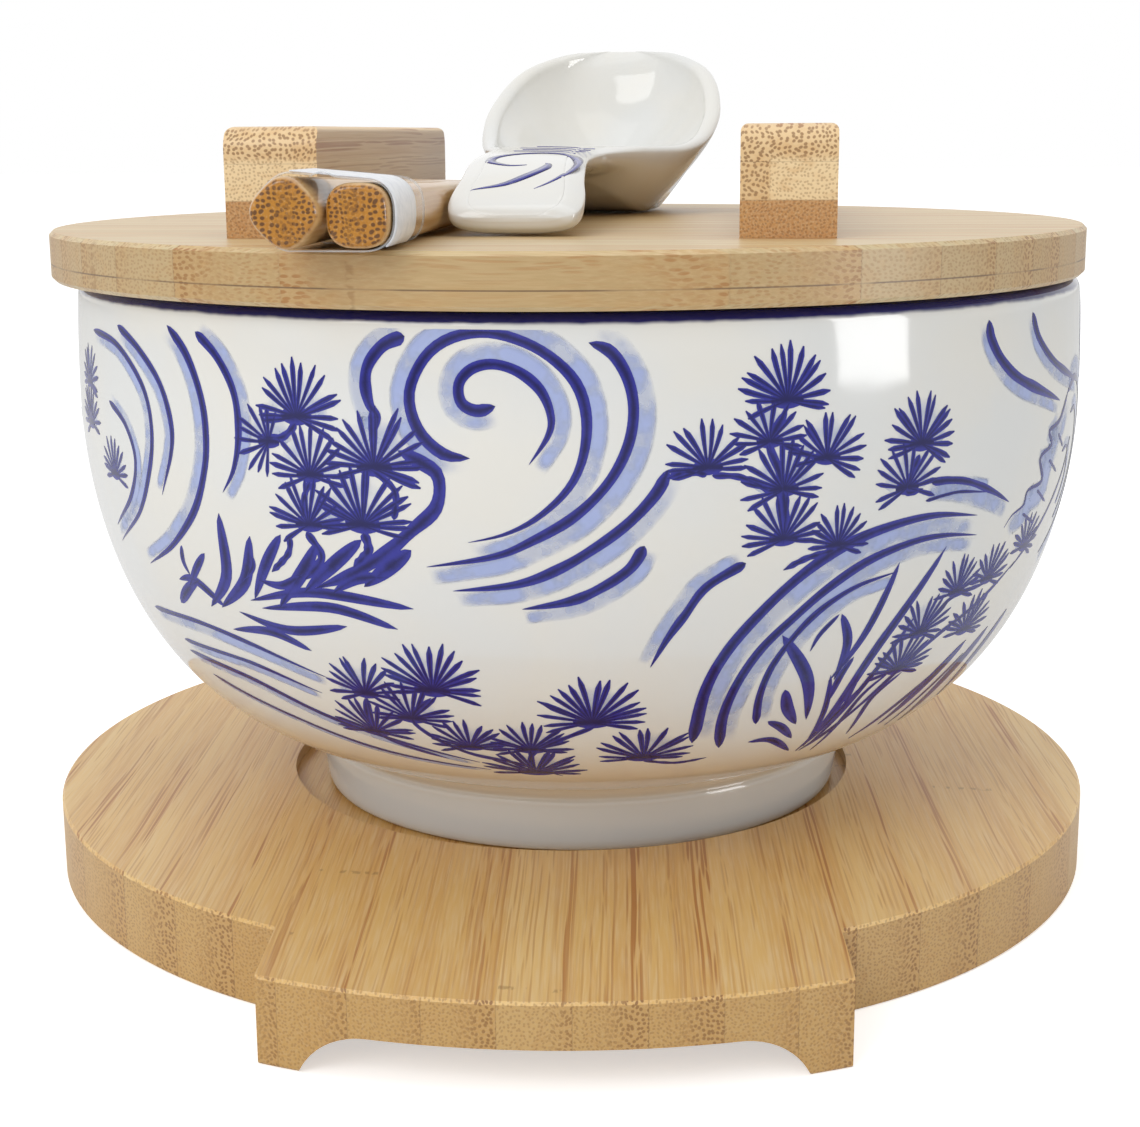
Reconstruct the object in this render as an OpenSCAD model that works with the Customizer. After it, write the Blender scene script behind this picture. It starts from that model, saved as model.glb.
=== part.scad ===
// Donburi bowl with a flat bamboo lid, on a bamboo tray, with a porcelain soup spoon
// and a wrapped pair of chopsticks lying on the lid.
// The origin is the middle of the tray's underside, +Z is up and -Y is the front.

/* [Tray] */
// Diameter of the round part of the tray
tray_d = 172; // [150:1:220]
// Length of the tray over its two tabs
tray_l = 200; // [190:1:240]
// Thickness of the tray
tray_t = 12.4; // [10:0.1:20]
// Width of a tab
tab_w = 77; // [72:1:110]
// Clearance round the foot of the bowl in its round recess
recess_clear = 3; // [1.5:0.5:16]
// Depth of that recess
recess_depth = 2; // [1:0.1:4]
// Width of the finger notch under a tab, at the table
notch_w = 65.8; // [50:0.1:67]
// Height of the finger notch
notch_h = 6; // [5:0.1:7.5]
// Radius of the coves at the two ends of the notch
notch_r = 10; // [8:0.5:14]
// How far the notch runs in from the end of the tab
notch_depth = 22; // [14:1:30]
// Eased edge of the tray
tray_ease = 0.4; // [0.2:0.1:2]
// How far the tray lies turned under the bowl, clockwise from above, in degrees
tray_turn = 1.5; // [0:0.1:8]

/* [Bowl] */
// Largest diameter of the bowl
bowl_d = 161.6; // [155:0.2:180]
// Height of the bowl, foot and rim included
bowl_h = 85.5; // [78:0.5:110]
// How far the widest level lies under the rim
bulge_drop = 18; // [10:0.5:30]
// How far the rim draws in from the largest radius
rim_draw = 0.5; // [0:0.1:3]
// Thickness of the wall
bowl_wall = 4.2; // [3:0.1:6]
// Thickness of the floor
bowl_floor = 6; // [4:0.1:10]
// Diameter of the foot ring
foot_d = 89; // [70:0.5:91]
// Height of the foot ring
foot_h = 9; // [6:0.5:14]
// Thickness of the foot ring
foot_wall = 5.5; // [4:0.1:8]
// Hollow under the bowl inside the foot ring
foot_hollow = 7.6; // [5:0.1:8.5]
// Fullness of the wall's curve, 2 is an ellipse and more is squarer
bowl_fullness = 3.9; // [2.5:0.1:5]

/* [Lid] */
// Diameter of the lid
lid_d = 165; // [162:0.5:190]
// Thickness of the upper ply
upper_ply_t = 4.85; // [3:0.05:8]
// Thickness of the lower ply
lower_ply_t = 2.6; // [2:0.05:6]
// Thickness of the locating disc under the lid
plug_t = 5; // [3:0.5:10]
// Clearance round the locating disc inside the rim
plug_clear = 2.2; // [1:0.1:4]
// Eased edge of the lid
lid_ease = 0.6; // [0.3:0.1:2]
// How far the lid lies turned on the bowl, clockwise from above, in degrees
lid_turn = 6.2; // [0:0.1:8]

/* [Handle bars] */
// Length of a handle bar
bar_l = 105; // [80:1:118]
// Width of a handle bar
bar_w = 13.2; // [10:0.1:16]
// Thickness of one of its three layers
bar_layer_t = 5.1; // [4:0.1:7]
// Clear space between the two bars
bar_space = 58.4; // [58.2:0.1:66]
// Rounding of the ends at the top
bar_end_r = 3.2; // [1:0.1:4]
// Rounding of the long edges at the top
bar_side_r = 1; // [0.5:0.1:3]
// Diameter of a dowel in a bar
dowel_d = 6; // [4:0.1:7]
// How far a dowel reaches into the middle layer
dowel_bite = 3; // [2:0.1:3.5]

/* [Chopsticks] */
// Length of a chopstick
stick_l = 225; // [190:1:240]
// Thickness at the square end
stick_t = 8; // [7:0.1:8.2]
// Thickness at the tip
stick_tip_t = 3; // [2.4:0.1:4]
// Direction of the pair, clockwise from above, in degrees
stick_turn = 6.4; // [6.2:0.1:6.6]
// Place of the right stick's square end, left of the lid's centre
stick_left = 25.7; // [25.5:0.1:25.9]
// Place of the right stick's square end, in front of the lid's centre
stick_front = 84; // [76:0.5:90]
// How far the left stick reaches forward past the right one
stick_stagger = 2; // [0:0.5:10]
// Gap between the two sticks
stick_gap = 0.2; // [0.1:0.1:0.5]

/* [Wrap] */
// Length of the film band along the sticks
wrap_l = 20; // [12:1:40]
// Thickness of the film
wrap_t = 0.25; // [0.2:0.05:0.4]
// Clearance between the film and a stick
wrap_clear = 0.2; // [0.15:0.05:0.3]
// How far the band sits back from the right stick's square end
wrap_setback = 1.5; // [1:0.5:10]
// Length of the label along the sticks
label_l = 13; // [8:1:16]
// Thickness of the label
label_t = 0.2; // [0.15:0.05:0.4]

/* [Spoon] */
// Length of the spoon as it lies
spoon_l = 127; // [118:1:130]
// Width of the spoon's bowl
spoon_w = 43.5; // [38:0.5:44]
// Height of the spoon's tip above the lid
spoon_h = 30.4; // [26:0.2:34]
// Direction of the spoon, clockwise from above, in degrees
spoon_turn = 8.7; // [8.4:0.1:10]
// How far the handle bows to the left of a straight line
spoon_bow = 3.4; // [0:0.1:4]
// Place of the handle's end, left of the lid's centre
spoon_left = 7.9; // [6:0.1:8]
// Place of the handle's end, in front of the lid's centre
spoon_front = 48.5; // [42:0.5:54]
// Clearance under the spoon
spoon_clear = 0.2; // [0.1:0.05:0.3]

/* [Hidden] */
$fn = 96;
overrun = 1;

// Tray strips lie side by side along Y, the row a share of a strip off the middle
tray_strips = 18;
tray_strip_w = tray_d / tray_strips;
tray_strip_shift_share = 0.265;

// Lid strips lie side by side along the turned lid's Y, the outer ones running to its edge
lid_strips = 20;
lid_strip_share = 0.0505;
lid_strip_w = lid_d * lid_strip_share;
lid_strip_first_share = 0.469;

// The recess, and levels above the table
recess_d = foot_d + 2 * recess_clear;
recess_z = tray_t - recess_depth;
rim_z = recess_z + bowl_h;
rim_gap = 0.3;
lid_z = rim_z + rim_gap;
upper_ply_z = lid_z + lower_ply_t;
lid_top = upper_ply_z + upper_ply_t;
bar_h = 3 * bar_layer_t;
stick_rest = wrap_t + wrap_clear + stick_gap / 10;

// How far the bowl has slid to the right in the clearances round its foot and inside its rim
bowl_slide_share = 0.75;
bowl_x = bowl_slide_share * min(recess_clear, plug_clear);

// Bowl profile
bowl_r = bowl_d / 2;
rim_r = bowl_r - rim_draw;
foot_r = foot_d / 2;
bulge_z = bowl_h - bulge_drop;
foot_ease = foot_wall / 6;
wall_steps = 16;
lip_steps = 8;
plug_r = rim_r - bowl_wall - plug_clear;

// Dowels stand in the middle of a lid strip, the same number of strips each way
dowel_strips_out = 4;

// Sections of the chopsticks and the spoon
stick_sides = 24;
stick_squareness = 2.8;
// The left stick rests on a corner
corner_turn = 45;
// Along a stick: share of its length, share of the thickness there
stick_shares = [
    [0, 0.80], [0.0022, 0.93], [0.006, 1], [0.1, 1], [0.25, 1], [0.4, 1],
    [0.55, 1], [0.7, 1], [0.85, 1], [0.988, 1], [0.997, 0.9], [1, 0.6]
];
spoon_outer_steps = 20;
spoon_inner_steps = 12;
spoon_span_steps = 2;
spoon_rim_share = 0.068;
spoon_rim = spoon_w * spoon_rim_share;
spoon_flat_power = 2.2;
spoon_bow_share = 0.7;
// Along the spoon: share of its length, half width as a share of its half width, then the
// height of the rim, the underside and the inside floor as shares of its height, and the
// squareness of its section
spoon_shares = [
    [0, 0.31, 0.092, 0.062, 0.095, 3.0],
    [0.006, 0.4, 0.125, 0.026, 0.129, 3.2],
    [0.022, 0.44, 0.155, 0.004, 0.162, 3.4],
    [0.05, 0.445, 0.205, 0.03, 0.213, 3.4],
    [0.1, 0.42, 0.272, 0.115, 0.281, 3.3],
    [0.2, 0.415, 0.335, 0.205, 0.344, 3.2],
    [0.32, 0.425, 0.37, 0.235, 0.378, 3.0],
    [0.42, 0.46, 0.385, 0.235, 0.39, 2.6],
    [0.49, 0.55, 0.388, 0.19, 0.345, 2.1],
    [0.55, 0.68, 0.385, 0.10, 0.23, 1.7],
    [0.61, 0.84, 0.392, 0.03, 0.145, 1.35],
    [0.67, 0.95, 0.45, 0, 0.115, 1.2],
    [0.74, 1, 0.57, 0, 0.12, 1.2],
    [0.8, 0.98, 0.68, 0.015, 0.15, 1.3],
    [0.85, 0.93, 0.775, 0.075, 0.215, 1.4],
    [0.9, 0.83, 0.865, 0.20, 0.345, 1.6],
    [0.945, 0.67, 0.928, 0.39, 0.53, 1.8],
    [0.975, 0.48, 0.968, 0.58, 0.73, 2.0],
    [0.994, 0.27, 0.988, 0.76, 0.90, 2.1],
    [1, 0.12, 0.99, 0.86, 0.98, 2.2]
];

// A round board standing on z = 0 with its two edges eased
module eased_disc(radius, thickness, ease)
    rotate_extrude()
        polygon([
            [0, 0], [radius - ease, 0], [radius, ease],
            [radius, thickness - ease], [radius - ease, thickness], [0, thickness]
        ]);

// A round board eased only along its top edge
module top_eased_disc(radius, thickness, ease)
    rotate_extrude()
        polygon([
            [0, 0], [radius, 0], [radius, thickness - ease],
            [radius - ease, thickness], [0, thickness]
        ]);

// The tray's outline at full thickness: the disc and two tabs that end on a wider circle
module tray_blank() {
    eased_disc(tray_d / 2, tray_t, tray_ease);
    intersection() {
        eased_disc(tray_l / 2, tray_t, tray_ease);
        translate([-tab_w / 2, -tray_l / 2, 0])
            cube([tab_w, tray_l, tray_t]);
    }
}

// The finger notch as a solid under one tab: a flat top between two coves
module notch() {
    cove_run = sqrt(pow(notch_r, 2) - pow(notch_r - notch_h, 2));
    cove_x = notch_w / 2 - cove_run;
    translate([0, -tray_l / 2 + notch_depth, 0])
        rotate([90, 0, 0])
            linear_extrude(notch_depth + overrun) {
                for (x = [-cove_x, cove_x])
                    translate([x, notch_h - notch_r])
                        circle(notch_r);
                translate([-cove_x, -notch_r])
                    square([2 * cove_x, notch_r + notch_h]);
            }
}

function tray_strip_edge(i) =
    i == 0 ? -tray_d / 2 - overrun
    : i == tray_strips ? tray_d / 2 + overrun
    : (i - tray_strips / 2 + tray_strip_shift_share) * tray_strip_w;

// One glued strip of the tray, counted from the left
module tray_strip(i)
    color(i % 2 == 0 ? "burlywood" : "tan")
        rotate([0, 0, -tray_turn])
            difference() {
                intersection() {
                    tray_blank();
                    translate([tray_strip_edge(i - 1), -tray_l, -overrun])
                        cube([tray_strip_edge(i) - tray_strip_edge(i - 1), 2 * tray_l, tray_t + 2 * overrun]);
                }
                translate([0, 0, recess_z])
                    cylinder(h = recess_depth + overrun, d = recess_d);
                notch();
                mirror([0, 1, 0])
                    notch();
            }

// Points of the wall's curve, from its widest level down to where it is only reach_r wide:
// height and radius follow a superellipse about the widest level
function wall_curve(radius, depth, reach_r) =
    let (last = acos(pow(reach_r / radius, bowl_fullness / 2)))
    [for (i = [0:wall_steps])
        let (a = last * i / wall_steps)
        [radius * pow(cos(a), 2 / bowl_fullness), bulge_z - depth * sin(a)]];

// The bowl, turned about Z: outer wall, foot ring, hollow under it, inner wall and round lip
module bowl() {
    outer_depth = bulge_z - foot_hollow;
    inner_depth = outer_depth - bowl_floor;
    lip_r = bowl_wall / 2;
    outer = wall_curve(bowl_r, outer_depth, foot_r);
    inner = wall_curve(bowl_r - bowl_wall, inner_depth, foot_r / 4);
    lip = [for (i = [1:lip_steps - 1])
        let (a = 180 * i / lip_steps)
        [rim_r - lip_r - lip_r * cos(a), bowl_h - lip_r + lip_r * sin(a)]];
    color("ghostwhite")
        translate([bowl_x, 0, recess_z])
            rotate_extrude()
                polygon(concat(
                    outer,
                    [[foot_r, foot_h - foot_ease], [foot_r - foot_ease, foot_ease], [foot_r - 2 * foot_ease, 0],
                     [foot_r - foot_wall + foot_ease, 0], [foot_r - foot_wall, foot_ease],
                     [foot_r - foot_wall, foot_hollow], [0, foot_hollow],
                     [0, foot_hollow + bowl_floor]],
                    [for (i = [wall_steps:-1:0]) inner[i]],
                    [[rim_r - bowl_wall, bowl_h - lip_r]],
                    lip,
                    [[rim_r, bowl_h - lip_r]]
                ));
}

function lid_strip_edge(i) =
    i == 0 ? -lid_d / 2 - overrun
    : i == lid_strips ? lid_d / 2 + overrun
    : -lid_d * lid_strip_first_share + (i - 1) * lid_strip_w;

// Turns its children with the lid
module on_lid()
    rotate([0, 0, -lid_turn])
        children();

// The four places of the dowels: under the middle of each bar, in the middle of a lid strip
module at_dowels() {
    bar_x = (bar_space + bar_w) / 2;
    middle = lid_strips / 2;
    for (x = [-bar_x, bar_x], strip = [middle - dowel_strips_out, middle + dowel_strips_out])
        translate([x, (lid_strip_edge(strip) + lid_strip_edge(strip + 1)) / 2, 0])
            children();
}

// The dowels, or their holes when overrun makes them longer
module dowel_row(from_z, to_z)
    at_dowels()
        translate([0, 0, from_z])
            cylinder(h = to_z - from_z, d = dowel_d);

// One glued strip of the lid's upper ply, counted from the front
module lid_strip(i)
    color(i % 2 == 0 ? "burlywood" : "wheat")
        on_lid()
            difference() {
                intersection() {
                    translate([0, 0, upper_ply_z])
                        top_eased_disc(lid_d / 2, upper_ply_t, lid_ease);
                    translate([-lid_d, lid_strip_edge(i), upper_ply_z - overrun])
                        cube([2 * lid_d, lid_strip_edge(i + 1) - lid_strip_edge(i), upper_ply_t + 2 * overrun]);
                }
                dowel_row(upper_ply_z - overrun, lid_top + overrun);
            }

// The lid's lower ply, eased along its bottom edge
module lid_lower_ply()
    color("burlywood")
        on_lid()
            difference() {
                translate([0, 0, upper_ply_z])
                    mirror([0, 0, 1])
                        top_eased_disc(lid_d / 2, lower_ply_t, lid_ease);
                dowel_row(lid_z - overrun, upper_ply_z + overrun);
            }

// The disc under the lid that keeps it centred in the rim
module lid_locating_disc()
    color("tan")
        on_lid()
            translate([0, 0, lid_z])
                mirror([0, 0, 1])
                    top_eased_disc(plug_r, plug_t, lid_ease);

// A rectangle standing on the X axis with its two top corners rounded
module round_topped(width, height, radius) {
    translate([-width / 2, 0])
        square([width, height - radius]);
    translate([radius - width / 2, 0])
        square([width - 2 * radius, height]);
    for (x = [radius - width / 2, width / 2 - radius])
        translate([x, height - radius])
            circle(radius);
}

// A whole handle bar along Y: its side outline crossed with its end outline
module bar_blank()
    intersection() {
        rotate([90, 0, 90])
            translate([0, 0, -bar_w / 2])
                linear_extrude(bar_w)
                    round_topped(bar_l, bar_h, bar_end_r);
        rotate([90, 0, 0])
            translate([0, 0, -bar_l / 2])
                linear_extrude(bar_l)
                    round_topped(bar_w, bar_h, bar_side_r);
    }

// One of the three glued layers of a bar, counted from the lid; side is -1 or 1
module handle_bar(side, layer)
    color(layer == 0 ? "peru" : layer == 1 ? "burlywood" : "tan")
        on_lid()
            difference() {
                translate([side * (bar_space + bar_w) / 2, 0, lid_top])
                    intersection() {
                        bar_blank();
                        translate([-bar_w, -bar_l, layer * bar_layer_t])
                            cube([2 * bar_w, 2 * bar_l, bar_layer_t]);
                    }
                dowel_row(lid_top - overrun, lid_top + bar_layer_t + dowel_bite);
            }

// Four dowels that pin the bars to the lid, hidden from above and below
module handle_dowels()
    color("peru")
        on_lid()
            dowel_row(lid_z, lid_top + bar_layer_t + dowel_bite);

// One superellipse section: x and z of point k
function section_point(half, squareness, turn, k) =
    let (a = 360 * k / stick_sides,
         x = half * sign(cos(a)) * pow(abs(cos(a)), 2 / squareness),
         z = half * sign(sin(a)) * pow(abs(sin(a)), 2 / squareness))
    [x * cos(turn) - z * sin(turn), x * sin(turn) + z * cos(turn)];

// How high the middle of a section lies when it rests flat or, turned, on a corner
function section_rest(half, squareness, turn) =
    turn == 0 ? half : half * pow(2, 1 / 2 - 1 / squareness);

function stick_half(share) = (stick_t + (stick_tip_t - stick_t) * share) / 2;
function stick_square(share) = stick_squareness + (2 - stick_squareness) * share;

// A closed skin over rings of equal count: a strip of triangles between two rings, and a fan
// from the middle of each end ring
module skin(rings) {
    count = len(rings[0]);
    last = (len(rings) - 1) * count;
    first_middle = last + count;
    ones = [for (k = [1:count]) 1 / count];
    polyhedron(
        concat([for (ring = rings) each ring], [ones * rings[0], ones * rings[len(rings) - 1]]),
        [for (r = [0:len(rings) - 2], k = [0:count - 1])
            let (a = r * count + k, b = r * count + (k + 1) % count)
            each [[a, b, b + count], [a, b + count, a + count]],
         for (k = [0:count - 1]) [first_middle, (k + 1) % count, k],
         for (k = [0:count - 1]) [first_middle + 1, last + k, last + (k + 1) % count]]
    );
}

// A chopstick along +Y with its underside on z = 0: squarish at the end, round at the tip
module stick(turn)
    skin([for (row = stick_shares)
        let (full = stick_half(row[0]), square = stick_square(row[0]))
        [for (k = [0:stick_sides - 1])
            let (p = section_point(full * row[1], square, turn, k))
            [p[0], row[0] * stick_l, p[1] + section_rest(full, square, turn)]]]);

// Centre distance of the two sticks at their square ends
stick_spread = stick_t / 2 + section_rest(stick_t / 2, stick_squareness, corner_turn) + stick_gap;

// Puts its children in the pair's own frame: origin under the right stick's square end
module on_pair()
    translate([-stick_left, -stick_front, lid_top + stick_rest])
        rotate([0, 0, -stick_turn])
            children();

module chopstick_right()
    color("peru")
        on_pair()
            stick(0);

module chopstick_left()
    color("peru")
        on_pair()
            translate([-stick_spread, -stick_stagger, 0])
                stick(corner_turn);

// The stretched outline round both sticks, grown by a distance
module pair_outline(grow)
    offset(r = grow, $fn = 32)
        hull() {
            translate([0, stick_t / 2])
                polygon([for (k = [0:stick_sides - 1])
                    section_point(stick_t / 2, stick_squareness, 0, k)]);
            translate([-stick_spread, section_rest(stick_t / 2, stick_squareness, corner_turn)])
                polygon([for (k = [0:stick_sides - 1])
                    section_point(stick_t / 2, stick_squareness, corner_turn, k)]);
        }

// A ring of the pair's outline between two distances, along the sticks
module pair_band(inside, outside, length)
    rotate([90, 0, 0])
        mirror([0, 0, 1])
            linear_extrude(length)
                difference() {
                    pair_outline(outside);
                    pair_outline(inside);
                }

module wrap_film()
    color([0.85, 0.88, 0.9, 0.5])
        on_pair()
            translate([0, wrap_setback, 0])
                pair_band(wrap_clear, wrap_clear + wrap_t, wrap_l);

// The blank label over the right side of the film
module wrap_label()
    color("white")
        on_pair()
            translate([0, wrap_setback, 0])
                intersection() {
                    pair_band(wrap_clear + wrap_t, wrap_clear + wrap_t + label_t, label_l);
                    translate([0, -overrun, stick_t / 8])
                        cube([2 * stick_t, label_l + 2 * overrun, 2 * stick_t]);
                }

// A smooth curve through rows of values: the cubic between rows i and i + 1
function smooth_row(rows, i, t) =
    let (a = rows[max(i - 1, 0)], b = rows[i], c = rows[i + 1], d = rows[min(i + 2, len(rows) - 1)])
    b + t * (c - a) / 2 + t * t * (a - 2.5 * b + 2 * c - d / 2)
        + t * t * t * (1.5 * b - a / 2 - 1.5 * c + d / 2);

// How far the spoon's middle lies off the straight line from end to tip: one smooth bow
function spoon_sway(share) = -spoon_bow * pow(sin(180 * min(share / spoon_bow_share, 1)), 2);

// One ring of the spoon: the outer half from rim to rim under it, then the inner half back,
// which is sunk to the floor in the bowl and slightly crowned along the handle
function spoon_ring(row) =
    let (x = spoon_sway(row[0]), y = row[0] * spoon_l, half = row[1] * spoon_w / 2,
         top = row[2] * spoon_h, under = max(row[3], 0) * spoon_h,
         floor_z = row[4] * spoon_h, power = 2 / row[5],
         rim = min(spoon_rim, half / 2), side = top - min(rim, top - under) / 3,
         solid = max(0, min(1, 1 - (top - floor_z) / rim)),
         edge = side + solid * (top - side), crest = side + (1 - solid / 4) * (top - side),
         sunk = (side - under) * (1 + max(0, spoon_flat_power - row[5]) / 2))
    concat(
        [for (k = [0:spoon_outer_steps])
            let (a = 180 * k / spoon_outer_steps)
            [x - half * sign(cos(a)) * pow(abs(cos(a)), power), y,
             max(under, side - sunk * pow(sin(a), power))]],
        [[x + half - rim / 2, y, crest]],
        [for (k = [0:spoon_inner_steps])
            let (a = 180 * k / spoon_inner_steps)
            [x + (half - rim) * sign(cos(a)) * pow(abs(cos(a)), power), y,
             edge + (floor_z - edge) * pow(sin(a), power)]],
        [[x + rim / 2 - half, y, crest]]
    );

// The soup spoon, skinned over its rings, its handle's end towards the front
module spoon() {
    spans = len(spoon_shares) - 1;
    rows = concat(
        [for (i = [0:spans - 1], j = [0:spoon_span_steps - 1])
            smooth_row(spoon_shares, i, j / spoon_span_steps)],
        [spoon_shares[spans]]);
    color("white")
        translate([-spoon_left, -spoon_front, lid_top + spoon_clear])
            rotate([0, 0, -spoon_turn])
                skin([for (row = rows) spoon_ring(row)]);
}

for (i = [1:tray_strips])
    tray_strip(i);
bowl();
for (i = [1:lid_strips])
    lid_strip(i - 1);
lid_lower_ply();
lid_locating_disc();
for (side = [["left", -1], ["right", 1]], layer = [["lower", 0], ["middle", 1], ["top", 2]])
    handle_bar(side[1], layer[1]);
handle_dowels();
chopstick_left();
chopstick_right();
wrap_film();
wrap_label();
spoon();
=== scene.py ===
import math
from functools import cached_property
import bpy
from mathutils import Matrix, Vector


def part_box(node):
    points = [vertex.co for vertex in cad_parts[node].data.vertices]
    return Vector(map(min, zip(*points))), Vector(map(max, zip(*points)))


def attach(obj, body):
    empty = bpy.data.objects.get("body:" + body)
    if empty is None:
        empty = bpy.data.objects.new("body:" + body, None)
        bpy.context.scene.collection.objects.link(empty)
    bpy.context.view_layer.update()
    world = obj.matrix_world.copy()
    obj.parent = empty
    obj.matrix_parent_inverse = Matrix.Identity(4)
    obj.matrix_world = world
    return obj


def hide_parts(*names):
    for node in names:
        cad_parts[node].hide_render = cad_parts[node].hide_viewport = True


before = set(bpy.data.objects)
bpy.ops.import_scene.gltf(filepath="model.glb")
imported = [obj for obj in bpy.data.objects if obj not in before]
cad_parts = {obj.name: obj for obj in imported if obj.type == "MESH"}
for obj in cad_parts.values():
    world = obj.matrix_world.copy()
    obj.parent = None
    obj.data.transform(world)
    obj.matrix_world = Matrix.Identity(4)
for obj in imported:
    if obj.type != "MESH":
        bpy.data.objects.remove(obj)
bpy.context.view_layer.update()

from types import SimpleNamespace

import bpy
import numpy as np
from mathutils import Euler

bl_info = {
    "name": "Donburi bowl set",
    "version": (1, 0, 0),
    "blender": (4, 5, 0),
    "location": "3D View > Sidebar > Bowl set",
    "description": "Dresses a lidded donburi bowl, its tray, spoon and chopsticks",
    "category": "Add Mesh",
}

MM = 0.001

# Levels and places read from the frame, in mm
RECESS_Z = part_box("bowl")[0].z / MM
RIM_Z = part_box("bowl")[1].z / MM
LID_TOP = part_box("lid_strip_10")[1].z / MM
BAR_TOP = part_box("handle_bar_left_top")[1].z / MM
PLY_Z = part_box("lid_lower_ply")[1].z / MM
BOWL_X = (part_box("bowl")[0].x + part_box("bowl")[1].x) / 2 / MM


def strip_rule(name_a, name_b):
    """Width of one strip of the tray and the place of strip name_a's left edge."""
    middle_a, middle_b = (sum(corner.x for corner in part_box(name)) / 2 / MM for name in (name_a, name_b))
    width = middle_b - middle_a
    return width, middle_a - width / 2


# The width of a strip or layer of bamboo and the place where one of them starts, in mm
LID_DIAMETER = 165
STRIPS = {
    "tray": strip_rule("tray_strip_9", "tray_strip_10"),
    "lid": (LID_DIAMETER * 0.0505, -LID_DIAMETER * 0.469),
    "bar": ((BAR_TOP - LID_TOP) / 3, LID_TOP),
}
TRAY_TURN = math.radians(1.5)
LID_TURN = math.radians(6.2)


# Numbers and nodes of a material

class Value:
    """A number in a node tree. Arithmetic on values adds Math nodes to that tree."""

    def __init__(self, nodes, socket):
        self.nodes = nodes
        self.socket = socket

    def __add__(self, other):
        return worked("ADD", self, other)

    def __radd__(self, other):
        return worked("ADD", other, self)

    def __sub__(self, other):
        return worked("SUBTRACT", self, other)

    def __rsub__(self, other):
        return worked("SUBTRACT", other, self)

    def __mul__(self, other):
        return worked("MULTIPLY", self, other)

    def __rmul__(self, other):
        return worked("MULTIPLY", other, self)

    def __truediv__(self, other):
        return worked("DIVIDE", self, other)

    def __rtruediv__(self, other):
        return worked("DIVIDE", other, self)

    def __abs__(self):
        return worked("ABSOLUTE", self)


def worked(operation, *terms):
    """One Math node on values and plain numbers."""
    nodes = next(term.nodes for term in terms if isinstance(term, Value))
    node = nodes.add("ShaderNodeMath", {"operation": operation}, dict(enumerate(terms)))
    return Value(nodes, node.outputs[0])


def eased(value, low, high):
    """0 below low and 1 above high, smooth between; high may be the smaller one."""
    node = value.nodes.add("ShaderNodeMapRange", {"interpolation_type": "SMOOTHSTEP"},
                           {"Value": value, "From Min": low, "From Max": high})
    return Value(value.nodes, node.outputs["Result"])


class Nodes:
    """The node tree of a material or of the background."""

    def __init__(self, tree):
        self.tree = tree

    def add(self, kind, settings=None, inputs=None):
        """A node of any type: its settings are set first, then its sockets are filled."""
        node = self.tree.nodes.new(kind)
        for name, setting in (settings or {}).items():
            setattr(node, name, setting)
        for name, value in (inputs or {}).items():
            self.fill(node.inputs[name], value)
        return node

    def fill(self, socket, value):
        """Links a value or an output to a socket, or sets a plain number or colour on it."""
        if isinstance(value, Value):
            value = value.socket
        if isinstance(value, bpy.types.NodeSocket):
            self.tree.links.new(value, socket)
        else:
            socket.default_value = value

    def blend(self, share, first, second):
        """A colour between two colours."""
        return self.add("ShaderNodeMix", {"data_type": "RGBA"}, {0: share, 6: first, 7: second}).outputs[2]


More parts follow.
